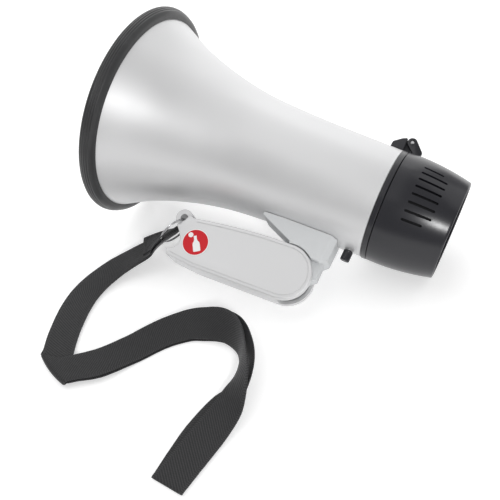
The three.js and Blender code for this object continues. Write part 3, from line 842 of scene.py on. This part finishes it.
def grip_outline():
    """The grip's side outline in its own frame, from the round end to the lug and the opener."""
    outline = [(-60, -16.4), (-0.7, -GRIP_END)] + arc(0, 0, GRIP_END, -90, 92, 40)
    outline += quad_curve(outline[-1], (-30, 20.4), (-69, 16.0), 14)
    outline += quad_curve((-69, 16.0), (-73.6, 15.8), (-75.2, 18.6))
    lug = arc(*LUG, LUG_RADIUS, math.degrees(0.62), math.degrees(4.3), 24)
    outline += lug + quad_curve(lug[-1], (-72.8, 0), (-75, -4.6), 10)
    outline += quad_curve((-75, -4.6), (-77, -8.6), (-82, -9.6)) + [(-80, -13.8)]
    return outline


def fillet_rim(piece, y, width):
    """Rounds only the edges that lie in the plane at this Y, in millimetres."""
    edit = bmesh.new()
    edit.from_mesh(piece.data)
    rim = [e for e in edit.edges if all(abs(v.co.y - y * MM) < 1e-6 for v in e.verts)]
    bmesh.ops.bevel(edit, geom=rim, offset=width * MM, segments=5, profile=0.5, affect="EDGES",
                    clamp_overlap=True)
    edit.to_mesh(piece.data)
    edit.free()
    return piece


class MEGAPHONE_OT_bracket(bpy.types.Operator):
    """Builds the grey bracket that carries the grip under the body"""
    bl_idname = "megaphone.bracket"
    bl_label = "Grip bracket"

    def execute(self, context):
        x, _, z = PIVOT
        outline = [(-68.5, -36), (-68.5, -40.6), (-44, -50.4)] + arc(x, z, GRIP_END + 0.8, 104.85, 49.85, 20)
        outline += [(-20.5, -56), (-16, -52.5), (-15.6, -36)]
        body = rounded(prism("bracket", outline, -GRIP_HALF, GRIP_HALF), 1.1, 4, 25)
        bevels = []
        for side in (1, -1):
            corners = [(-22, side * 14), (-14, side * 14), (-14, side * 9.4)]
            wedge = new_object("wedge", [(px, py, pz) for pz in (-60, -30) for px, py in corners],
                               [(0, 1, 2), (3, 4, 5), (0, 1, 4, 3), (1, 2, 5, 4), (2, 0, 3, 5)])
            bevels.append(wedge)
        tongue = prism("tongue", [(-28, -53.5), (-18.6, -54), (-18.4, -66), (-31, -78.5)]
                       + arc(x, z, 11.3, -44.7, -265, 32), -TONGUE_HALF, TONGUE_HALF)
        combine(body, bevels)
        combine(body, [rounded(tongue, 0.6, 2)], "UNION")
        tube = turned("tube", [(-90, 0), (-90, 42.1), (-54, 39.7), (0, 38.1), (0, 0)], 144)
        pin = bar("pin", (x, -20, z), (x, 20, z), 2.8, 32)
        holes = [bar("hole", (sx, 0, -46), (sx, 0, -30), 1.8, 20) for sx in (-46, -24)]
        combine(body, [tube, pin] + holes)
        smooth(body.data, 32)
        finished(body, "grey_plastic", "megaphone", "grey_plastic", "handle_bracket")
        return {"FINISHED"}


class MEGAPHONE_OT_grip(bpy.types.Operator):
    """Builds both shells of the grip, the trigger, the screws, the opener tooth and the round label"""
    bl_idname = "megaphone.grip"
    bl_label = "Grip"

    def execute(self, context):
        rounding = in_mm(context.scene.megaphone_sizes.grip_round)
        for side, name in ((-1, "left"), (1, "right")):
            self.build_shell(side, name, rounding)
        self.build_fittings()
        self.build_label()
        return {"FINISHED"}

    def build_shell(self, side, name, fillet):
        """One half of the grip: a hollow shell with a shallow line round its flat side."""
        span = sorted((side * 0.12, side * GRIP_HALF))
        shell = prism(f"grip_{name}", grip_outline(), *span, GRIP)
        fillet_rim(shell, side * GRIP_HALF, fillet)
        cavity = prism("cavity", arc(0, 0, GRIP_END - 2, -90, 90, 30) + [(-66, 13.8), (-69, 2), (-66, -13.8)],
                       *sorted((-side, side * (GRIP_HALF - 2))), GRIP)
        sweep = [(0, 0)] + arc(0, 0, GRIP_END + 2, -87.1, 61.9, 32)
        cuts = [prism("slot", sweep, -TONGUE_HALF - 0.3, TONGUE_HALF + 0.3, GRIP)]
        cuts.append(prism("relief", [(-90, 8.4), (-78.6, 8.4), (-73.4, 17.2), (-73.4, 24), (-90, 24)],
                          *sorted((side * LUG_HALF, side * 14)), GRIP))
        cuts.append(bar("lug_hole", (LUG[0], -20, LUG[1]), (LUG[0], 20, LUG[1]), LUG_HOLE, 40, GRIP))
        cuts.append(block("gate", (TRIGGER[0] - 0.5, -5.1, 9), (TRIGGER[1] + 0.5, 5.1, 24), GRIP))
        slot = [(-70.7, -13.1), (-82.9, -12.9), (-83.5, -9.3), (-77, -7.3), (-70.7, -6.9)]
        cuts.append(prism("tooth_slot", slot, -1.5, 1.5, GRIP))
        if side > 0:
            cuts += [bar("screw_recess", (x, 10.6, z), (x, 14, z), 3.1, 32, GRIP) for x, z in SCREWS]
        inset = 2.3
        seam = [(-68, 16.0 - inset), (-45, 18.0 - inset), (-22, 18.9 - inset)]
        seam += arc(0, 0, GRIP_END - inset, 88, -88, 40)
        seam += [(-30, -17.5 + inset), (-60, -16.4 + inset), (-78, -11.4)]
        seam = [(x, side * (GRIP_HALF + 0.02), z) for x, z in seam]
        cuts.append(swept("seam", seam, round_section(0.34, 10), GRIP))
        combine(shell, [cavity] + cuts)
        smooth(shell.data, 32)
        finished(shell, "silver_paint", "handle", "silver_plastic", f"handle_shell_{name}")

    def build_fittings(self):
        """The trigger, the opener's tooth and the screws."""
        front, rear = TRIGGER
        edges = [(x, GRIP_END + x * 0.036 + 1.2) for x in (rear, front)]
        lever = [(front, 12.8), (rear, 12.8), (rear, edges[0][1] - 1), (rear - 1.5, edges[0][1]), (-44, 18.2),
                 (front + 1.5, edges[1][1]), (front, edges[1][1] - 1)]
        trigger = rounded(prism("trigger_lever", lever, -4.8, 4.8, GRIP), 0.8, 4, 25)
        grooves = [block("groove", (x - 0.4, -6, 17.75), (x + 0.4, 6, 20), GRIP) for x in (-48, -45, -42)]
        combine(trigger, grooves)
        smooth(trigger.data, 32)
        finished(trigger, "grey_plastic", "trigger", "grey_plastic", "trigger")
        hook = [(-71, -12.8), (-82.6, -12.6), (-83.2, -9.6), (-77, -7.6), (-71, -7.2)]
        tooth = rounded(prism("tooth", hook, -1.2, 1.2, GRIP), 0.25, 2)
        finished(tooth, "plated_steel", "handle", "steel", "opener_tooth")
        shank_and_head = [(-7.6, 0), (-7.6, 1.1), (-6.8, 1.4), (10.9, 1.4), (10.9, 2.8), (12.0, 2.7),
                          (12.6, 1.9), (12.8, 0)]
        for i, (x, z) in enumerate(SCREWS, 1):
            seat = seated(GRIP, (x, 0, z), 90, "Z")
            screw = turned(f"grip_screw_{i}", shank_and_head, 48, seat)
            cross = [block("cross", (12.0, -1.6, -0.3), (14, 1.6, 0.3), seat),
                     block("cross", (12.0, -0.3, -1.6), (14, 0.3, 1.6), seat)]
            combine(screw, cross)
            smooth(screw.data, 35)
            finished(screw, "plated_steel", "handle", "steel", f"handle_screw_{i}")

    def build_label(self):
        """A red disc with a bottle and a crown cap printed in white."""
        face = -GRIP_HALF - 0.3
        seat = seated(GRIP, (LABEL_X, face, 0), -90, "Z")
        disc = turned("round_label", [(-0.2, 0), (-0.2, 8.7), (0.0, 8.8), (0.12, 8.7), (0.12, 0)], 96, seat)
        finished(disc, "printed_label", "handle", "red_plastic", "round_sticker")
        halo = turned("label_border", [(-0.25, 8.8), (-0.25, 9.35), (0.05, 9.3), (0.05, 8.8)], 96, seat)
        finished(halo, "label_white", "handle", "silver_plastic")
        bottle = [(-1.0, 5.2), (-1.0, 2.6), (-1.3, 1.6), (-2.3, 0.2), (-2.5, -1.0), (-2.5, -5.4),
                  (-2.2, -5.9)]
        outline = bottle + [(-x, z) for x, z in reversed(bottle)]
        self.print_shape("label_bottle", outline, (0.6, -0.4), 28)
        crown = []
        for i, (x, z) in enumerate(arc(0, 0, 1.9, 0, 360, 20)[:-1]):
            crimp = 1.0 if i % 2 else 0.86
            crown.append((x * crimp, z * crimp))
        self.print_shape("label_crown", crown, (-4.9, 4.0), 0)

    def print_shape(self, name, outline, centre, tilt):
        """A flat printed shape on the label's face."""
        turn = math.radians(tilt)
        points = [(LABEL_X + centre[0] + x * math.cos(turn) - z * math.sin(turn),
                   centre[1] + x * math.sin(turn) + z * math.cos(turn)) for x, z in outline]
        shape = prism(name, points, -GRIP_HALF - 0.47, -GRIP_HALF - 0.38, GRIP)
        finished(shape, "label_white", "handle", "red_plastic")


# ------------------------------------------------------------------ ring and strap
RING_RADIUS = 11.2
RING_DROP = math.radians(240)
RING_FAR = GRIP @ (Vector((LUG[0] + 2 * RING_RADIUS * math.cos(RING_DROP), 0,
                           LUG[1] + 2 * RING_RADIUS * math.sin(RING_DROP))) * MM) / MM
RING_INWARD = GRIP.to_3x3() @ Vector((-math.cos(RING_DROP), 0, -math.sin(RING_DROP)))


class MEGAPHONE_OT_split_ring(bpy.types.Operator):
    """Builds the double-turn split ring on the grip's lug"""
    bl_idname = "megaphone.split_ring"
    bl_label = "Split ring"

    def execute(self, context):
        wire = in_mm(context.scene.megaphone_sizes.ring_wire)
        away = Vector((math.cos(RING_DROP), 0, math.sin(RING_DROP)))
        along = Vector((0, 1, 0))
        axis = away.cross(along)
        centre = Vector((LUG[0], 0, LUG[1])) + away * RING_RADIUS
        path = []
        steps = 220
        for i in range(steps + 1):
            turn = i / steps * 1.94
            side = max(-1.0, min(1.0, (turn - 0.97) * 14))
            angle = turn * 2 * math.pi + 0.7
            path.append(centre + (away * math.cos(angle) + along * math.sin(angle)) * RING_RADIUS
                        + axis * side * wire * 0.5)
        ring = swept("key_ring", path, round_section(wire * 0.48, 14), GRIP)
        finished(ring, "plated_steel", "strap_ring", "steel", "split_ring")
        return {"FINISHED"}


# The strap's middle line on its way from the ring to its looped end: x, y, height, lean in degrees
# (the left edge up), sideways slip between the two layers, and the space between them.
STRAP_FRONT = [
    (-72, -63, 18.5, 12, 0.6, 0.5), (-88, -73.2, 9.5, 8, 1.2, 0.4), (-100, -86.2, 4.0, 4, 1.6, 0.4),
    (-106.5, -104.5, 1.9, 0, 1.8, 0.2), (-106, -122.8, 1.5, 0, 2.2, 0.1), (-99.8, -144.5, 1.5, 0, 1.6, 0.05),
    (-92.5, -161, 1.5, 0, 1.0, 0.0), (-85.8, -173.8, 1.5, 0, 0.8, 0.0)]
STRAP_BACK = [
    (-71, -169.8, 4.9, 0, 0.8, 0.0), (-58, -158, 4.2, 0, 0.8, 0.0), (-46.5, -141, 2.2, 2, 0.6, 0.05),
    (-33, -121.5, 1.8, 6, 0.6, 0.1), (-18.6, -109, 3.0, 14, 0.8, 0.3), (-6.6, -105, 5.0, 26, 1.0, 0.8),
    (5, -104, 7.4, 43, 1.2, 1.8), (16.5, -106.5, 9.9, 60, 1.4, 2.8), (27, -113.2, 11.3, 73, 1.8, 3.4),
    (34.8, -124.5, 10.3, 70, 3.0, 4.6), (38, -138, 7.6, 50, 4.6, 3.2), (35.6, -154, 2.8, 14, 5.4, 1.2),
    (31.8, -173.5, 1.6, 0, 4.8, 0.7), (29.6, -192.5, 1.5, 0, 3.0, 0.3), (28, -211, 1.4, 0, 0.4, 0.0)]
FOLD_RADIUS = 1.7
FOLD_BOW = 0.006  # how far the fold's line curves back towards both edges
FOLD_REACH = 34.0  # how far from the fold the webbing is laid out on its unfolded line
SEWN_LENGTH = 27.0
TAIL_SHIFT = -4.2  # how far the sewn tail lies to one side
TAIL_LIFT = 2.05  # the tail's middle above the middle of the two layers
LAYER_LIFT = 0.68  # each layer's middle from the middle of both
RING_BEND = 2.1  # radius of the loop round the ring
GATHERED = 13.0  # how far from the ring the webbing is gathered
ROW_STEP = 1.2
FOLD_STEP = 0.5
FINE_REACH = 30.0  # rows lie FOLD_STEP apart up to this far from the fold
END_LOOP = 0.8  # the layers join this far before the strap's end
LAYERS_FROM = 17.0  # the upper layer's end, tucked under the sewn tail


def dense(points):
    """Evenly stepped samples of a line through these points, and the distance along it."""
    samples = np.array(catmull(points, 40))
    walk = np.concatenate([[0], np.cumsum(np.linalg.norm(np.diff(samples[:, :2], axis=0), axis=1))])
    return samples, walk


def eased(value):
    """A value held to 0..1 and eased at both ends."""
    value = min(1.0, max(0.0, value))
    return value * value * (3 - 2 * value)


class Strap:
    """The strap's middle surface: flat webbing, folded back on itself once, standing up in its bend."""

    def __init__(self, width):
        """Joins the line that comes from the ring to the line that goes back over the fold."""
        self.half = width / 2
        start = (*(RING_FAR + RING_INWARD * 8.0), 22, 0.0, 0.9)
        front, front_walk = dense([start] + STRAP_FRONT)
        crossing = front[-1, :2]
        arriving = self.unit(front[-1, :2] - front[-8, :2])
        leaving = self.unit(np.array(STRAP_BACK[0][:2]) - crossing)
        self.fold = self.unit(arriving + leaving)
        self.out = np.array([self.fold[1], -self.fold[0]])
        if self.out @ arriving < 0:
            self.out = -self.out
        self.crossing = crossing
        wrap = math.pi * FOLD_RADIUS
        begin = crossing + self.fold * wrap * (arriving @ self.fold) / (arriving @ self.out)
        back, back_walk = dense([(*begin, STRAP_FRONT[-1][2] + 2 * FOLD_RADIUS, 0, 0.8, 0.0)] + STRAP_BACK)
        self.turn = front_walk[-1]
        gap = wrap / (arriving @ self.out)
        self.front, self.front_walk = front, front_walk
        self.back, self.back_walk = back, back_walk + self.turn + gap
        self.length = self.back_walk[-1]
        unfolded = np.array([self.mirrored(p) + self.out * wrap for p in back[:, :2]])
        self.flat = np.vstack([front[:, :2], unfolded])
        self.flat_walk = np.concatenate([front_walk, self.back_walk])

    @staticmethod
    def unit(vector):
        """A vector made one long."""
        return vector / np.linalg.norm(vector)

    def mirrored(self, point):
        """A point on the far side of the fold's line."""
        offset = point - self.crossing
        return self.crossing + 2 * (offset @ self.fold) * self.fold - offset

    @staticmethod
    def sample(table, walk, s):
        """The values of a table at this distance along its line."""
        return np.array([np.interp(s, walk, table[:, k]) for k in range(table.shape[1])])

    def heading(self, table, walk, s):
        """Which way a line runs at this distance."""
        step = 1.5
        return self.unit(self.sample(table[:, :2], walk, min(s + step, walk[-1]))
                         - self.sample(table[:, :2], walk, max(s - step, walk[0])))

    def settings(self, s):
        """Height, lean, slip and gap at this distance from the ring."""
        if s <= self.turn:
            lift, lean, slip, gap = self.sample(self.front[:, 2:], self.front_walk, s)
        else:
            lift, lean, slip, gap = self.sample(self.back[:, 2:], self.back_walk, s)
        tilt = math.radians(max(lean, 0.0))
        lowest = (self.half + slip / 2) * math.sin(tilt) + (1.35 + gap / 2) * math.cos(tilt)
        return max(lift, lowest), lean, slip, gap

    def point(self, s, v, h):
        """Where the webbing lies: s along it, v to its left at the ring, h above its middle there."""
        lift, lean, slip, _ = self.settings(s)
        v = v + (slip / 2 if h > 0 else -slip / 2)
        if abs(s - self.turn) < FOLD_REACH:
            return self.folded(s, v, h)
        if s <= self.turn:
            table, walk, way = self.front, self.front_walk, 1
        else:
            table, walk, way = self.back, self.back_walk, -1
        centre = self.sample(table[:, :2], walk, s)
        ahead = self.heading(table, walk, s)
        left = np.array([-ahead[1], ahead[0]])
        lean = math.radians(lean)
        across = np.array([*(left * math.cos(lean)), math.sin(lean)])
        normal = np.array([*(-left * math.sin(lean)), math.cos(lean)])
        return np.array([*centre, lift]) + way * (across * v + normal * h)

    def folded(self, s, v, h):
        """Near the fold: flat, then round the fold's small radius, then flat again on top."""
        base = STRAP_FRONT[-1][2]
        centre = self.sample(self.flat, self.flat_walk, s)
        ahead = self.heading(self.flat, self.flat_walk, s)
        spot = centre + np.array([-ahead[1], ahead[0]]) * v
        past = (spot - self.crossing) @ self.out
        beside = (spot - self.crossing) @ self.fold
        past += FOLD_BOW * beside ** 2 * math.exp(-(past / 14) ** 2)
        if past <= 0:
            lift = self.settings(min(s, self.turn))[0]
            return np.array([*spot, lift + h])
        if past < math.pi * FOLD_RADIUS:
            angle = past / FOLD_RADIUS
            edge = spot - self.out * past
            radius = FOLD_RADIUS - h
            lift = base + FOLD_RADIUS - radius * math.cos(angle)
            return np.array([*(edge + self.out * radius * math.sin(angle)), lift])
        spot = spot - self.out * (2 * past - math.pi * FOLD_RADIUS)
        lift = self.settings(max(s, self.turn + 1e-6))[0]
        return np.array([*spot, lift - h])

    @staticmethod
    def opening(s):
        """How far the loop round the ring stands open, from 1 at its end to 0 where it is sewn shut."""
        return eased((19 - s) / 12)

    def rows(self):
        """Rows of points across the webbing: the sewn tail, round the ring, out, round the end and back."""
        stations = []
        for s in np.arange(SEWN_LENGTH, 0.01, -1.0):
            near = self.opening(s)
            stations.append((s, TAIL_LIFT * (1 - near) + (RING_BEND + 0.3) * near, 0.0, 1))
        for angle in np.linspace(0, math.pi, 10):
            stations.append((0.0, RING_BEND * math.cos(angle), -RING_BEND * math.sin(angle), 1))
        before, after = self.turn - FINE_REACH, self.turn + FINE_REACH
        out = np.concatenate([
            np.arange(ROW_STEP, before, ROW_STEP), np.arange(before, after, FOLD_STEP),
            np.arange(after, self.length - 0.6, ROW_STEP)])
        for s in out:
            near = self.opening(s)
            gap = self.settings(s)[3]
            stations.append((s, -(LAYER_LIFT + gap / 2) * (1 - near) - RING_BEND * near, 0.0, 0))
        for angle in np.linspace(0.2, math.pi - 0.2, 8):
            lift, along = -LAYER_LIFT * math.cos(angle), LAYER_LIFT * math.sin(angle)
            stations.append((self.length - END_LOOP, lift, along, 0))
        for s in out[::-1]:
            if s > LAYERS_FROM:
                stations.append((s, LAYER_LIFT + self.settings(s)[3] / 2, 0.0, 0))
        return [self.row(*station) for station in stations]

    def row(self, s, h, along, tail, columns=17):
        """One row across: gathered towards the ring's curve near the ring, full width elsewhere."""
        near = eased(1 - s / GATHERED)
        half = self.half * (1 - 0.06 * near)
        if along <= 0 or s < 1:
            ahead = self.unit(self.point(s + 1.5, 0, h) - self.point(max(s - 0.5, 0), 0, h))
        else:
            ahead = self.unit(self.point(s, 0, h) - self.point(s - 2, 0, h))
        row = []
        for k in range(columns):
            v = half * (2 * k / (columns - 1) - 1)
            sag = 0.012 * v * v * near
            wave = 0.10 * math.sin(s * 0.23 + v * 0.4) + 0.07 * math.sin(s * 0.61 - v * 0.2)
            lateral = v + (TAIL_SHIFT if tail else 0.0) * (1 - near)
            spot = self.point(s, lateral, h) + ahead * (along - sag)
            spot[2] += abs(wave) * (0.0 if tail else 0.6)
            row.append(spot)
        return row


def webbing_mesh(name, rows, thickness):
    """A band with thickness from rows of middle points, carrying its own distance along and across."""
    grid = np.array(rows)
    count, columns = grid.shape[:2]
    along = np.gradient(grid, axis=0)
    across = np.gradient(grid, axis=1)
    normal = np.cross(along, across)
    normal /= np.maximum(np.linalg.norm(normal, axis=2, keepdims=True), 1e-9)
    for i in range(1, count):
        if (normal[i] * normal[i - 1]).sum() < 0:
            normal[i] *= -1
    walk = np.concatenate([[0], np.cumsum(np.linalg.norm(np.diff(grid[:, columns // 2], axis=0), axis=1))])
    rim = np.ones(columns) * 0.5
    rim[0] = rim[-1] = 0.36
    vertices, strip = [], []
    for side in (1, -1):
        for i in range(count):
            for k in range(columns):
                vertices.append(tuple(grid[i, k] + normal[i, k] * thickness * rim[k] * side))
                width = np.linalg.norm(grid[i, -1] - grid[i, 0])
                strip.append(((k / (columns - 1) - 0.5) * width * MM, walk[i] * MM, 0.0))

    def top(i, k):
        return i * columns + k

    def low(i, k):
        return (count + i) * columns + k

    faces = []
    for i in range(count - 1):
        for k in range(columns - 1):
            faces.append((top(i, k), top(i, k + 1), top(i + 1, k + 1), top(i + 1, k)))
            faces.append((low(i, k), low(i + 1, k), low(i + 1, k + 1), low(i, k + 1)))
        for k in (0, columns - 1):
            faces.append((top(i, k), top(i + 1, k), low(i + 1, k), low(i, k)))
    for i in (0, count - 1):
        for k in range(columns - 1):
            faces.append((top(i, k), low(i, k), low(i, k + 1), top(i, k + 1)))
    mesh = bpy.data.meshes.new(name)
    mesh.from_pydata([tuple(c * MM for c in v) for v in vertices], [], faces)
    layer = mesh.attributes.new("strip", "FLOAT_VECTOR", "POINT")
    layer.data.foreach_set("vector", [c for point in strip for c in point])
    edit = bmesh.new()
    edit.from_mesh(mesh)
    bmesh.ops.recalc_face_normals(edit, faces=edit.faces)
    edit.to_mesh(mesh)
    edit.free()
    smooth(mesh, 50)
    piece = bpy.data.objects.new(name, mesh)
    bpy.context.scene.collection.objects.link(piece)
    return piece, float(walk[-1])


class MEGAPHONE_OT_strap(bpy.types.Operator):
    """Builds the doubled webbing strap, folded once, with its sewn tail at the ring"""
    bl_idname = "megaphone.strap"
    bl_label = "Wrist strap"

    def execute(self, context):
        sizes = context.scene.megaphone_sizes
        width = in_mm(sizes.strap_width)
        route = Strap(width)
        strap, total = webbing_mesh("strap", route.rows(), in_mm(sizes.strap_thickness))
        finished(strap, "woven_nylon", "strap_ring", "webbing", "wrist_strap")
        total * MM
        self.build_stitches(route)
        return {"FINISHED"}

    def build_stitches(self, route):
        """A box with a cross in it, sewn through the tail, in single thread stitches."""
        corners = [(13, -8), (25, -8), (25, 8), (13, 8), (13, -8), (25, 8), (25, -8), (13, 8)]
        stitches = []
        for (s0, v0), (s1, v1) in zip(corners, corners[1:]):
            count = max(3, int(math.hypot(s1 - s0, v1 - v0) / 2.1))
            for i in range(count):
                ends = []
                for t in ((i + 0.14) / count, (i + 0.80) / count):
                    s, v = s0 + (s1 - s0) * t, v0 + (v1 - v0) * t
                    shift = TAIL_SHIFT * (1 - max(0.0, 1 - s / GATHERED) ** 2)
                    ends.append(Vector(route.point(s, v + shift, TAIL_LIFT + 0.58)))
                crest = ends[0].lerp(ends[1], 0.5) + Vector((0, 0, 0.08))
                path = [ends[0], crest, ends[1]]
                stitches.append(swept("stitch", path, round_section(0.16, 6), Matrix.Identity(4)))
        thread = join_meshes("strap_stitching", stitches)
        smooth(thread.data, 60)
        finished(thread, "woven_nylon", "strap_ring", "webbing")


# ------------------------------------------------------------------ stage
def soft_light(name, size, power, place, target):
    """A soft square light that faces the target."""
    light = bpy.data.lights.new(name, "AREA")
    light.shape = "SQUARE"
    light.size = size
    light.energy = power
    lamp = bpy.data.objects.new(name, light)
    lamp.location = place
    lamp.rotation_euler = (Vector(target) - Vector(place)).to_track_quat("-Z", "Y").to_euler()
    bpy.context.scene.collection.objects.link(lamp)
    return lamp


class MEGAPHONE_OT_stage(bpy.types.Operator):
    """Sets the camera, the pale floor and the soft lights"""
    bl_idname = "megaphone.stage"
    bl_label = "Camera, floor and lights"

    def execute(self, context):
        scene = context.scene
        scene.view_settings.view_transform = "Standard"
        self.set_camera(scene)
        self.set_floor()
        self.set_lights(scene)
        return {"FINISHED"}

    def set_camera(self, scene):
        """A camera above the grip's side of the horn, looking down at it."""
        camera = bpy.data.cameras.new("camera")
        camera.lens = 50.4
        camera.sensor_width = 36.0
        camera.clip_start = 0.01
        camera.dof.use_dof = False
        holder = bpy.data.objects.new("camera", camera)
        ahead = Vector((-0.41249, 0.57756, -0.70446)).normalized()
        up = Vector((-0.24998, 0.67187, 0.69721))
        right = ahead.cross(up).normalized()
        holder.matrix_world = placed(right, right.cross(ahead), -ahead, Vector((0.19819, -0.32740, 0.36485)))
        scene.collection.objects.link(holder)
        scene.camera = holder

    def set_floor(self):
        """A wide pale floor."""
        far = 40000
        corners = [(-far, -far, 0), (far, -far, 0), (far, far, 0), (-far, far, 0)]
        floor = new_object("floor", corners, [(0, 1, 2, 3)], Matrix.Translation((0, 0, -0.0002)))
        sheet = Finish("pale_floor", Base_Color=(0.8, 0.8, 0.8), Roughness=0.9,
                       Emission_Color=(1.0, 1.0, 1.0), Emission_Strength=0.4)
        floor.data.materials.append(sheet.material)

    def set_lights(self, scene):
        """Even light from all round, and four soft lamps."""
        world = bpy.data.worlds.new("studio")
        world.use_nodes = True
        ground = world.node_tree.nodes["Background"]
        ground.inputs["Color"].default_value = (1.0, 1.0, 1.0, 1.0)
        ground.inputs["Strength"].default_value = 0.44
        scene.world = world
        soft_light("overhead", 2.2, 13.5, (-0.95, 0.45, 1.15), (-0.95, 0.45, 0.0))
        soft_light("back", 2.0, 13.0, (-0.7, 1.6, 0.55), (0, 0, 0.1))
        soft_light("side", 1.4, 4.0, (1.0, 0.9, 1.0), (0, 0, 0.05))
        soft_light("front", 0.13, 3.0, (0.56, -0.60, 0.60), (0.1, 0, 0.05))


# ------------------------------------------------------------------ panel and registration
STEPS = ("finishes", "horn", "sound_path", "rear_cap", "volume_knob", "bracket", "grip", "split_ring",
         "strap", "stage")


class MEGAPHONE_PT_build(bpy.types.Panel):
    """Lists the sizes, the colours and the building steps"""
    bl_label = "Megaphone"
    bl_idname = "MEGAPHONE_PT_build"
    bl_space_type = "VIEW_3D"
    bl_region_type = "UI"
    bl_category = "Megaphone"

    def draw(self, context):
        for group in (context.scene.megaphone_sizes, context.scene.megaphone_colours):
            for key in group.bl_rna.properties.keys():
                if key not in {"rna_type", "name"}:
                    self.layout.prop(group, key)
        for step in STEPS:
            self.layout.operator(f"megaphone.{step}")


CLASSES = (
    MegaphoneSizes, MegaphoneColours, MEGAPHONE_OT_finishes, MEGAPHONE_OT_horn, MEGAPHONE_OT_sound_path,
    MEGAPHONE_OT_rear_cap, MEGAPHONE_OT_volume_knob, MEGAPHONE_OT_bracket, MEGAPHONE_OT_grip,
    MEGAPHONE_OT_split_ring, MEGAPHONE_OT_strap, MEGAPHONE_OT_stage, MEGAPHONE_PT_build)


def register():
    for item in CLASSES:
        bpy.utils.register_class(item)
    bpy.types.Scene.megaphone_sizes = bpy.props.PointerProperty(type=MegaphoneSizes)
    bpy.types.Scene.megaphone_colours = bpy.props.PointerProperty(type=MegaphoneColours)


def unregister():
    del bpy.types.Scene.megaphone_colours
    del bpy.types.Scene.megaphone_sizes
    for item in reversed(CLASSES):
        bpy.utils.unregister_class(item)


def main():
    """Registers the add-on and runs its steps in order."""
    register()
    for step in STEPS:
        getattr(bpy.ops.megaphone, step)()
    bpy.context.view_layer.update()


if __name__ == "__main__":
    main()
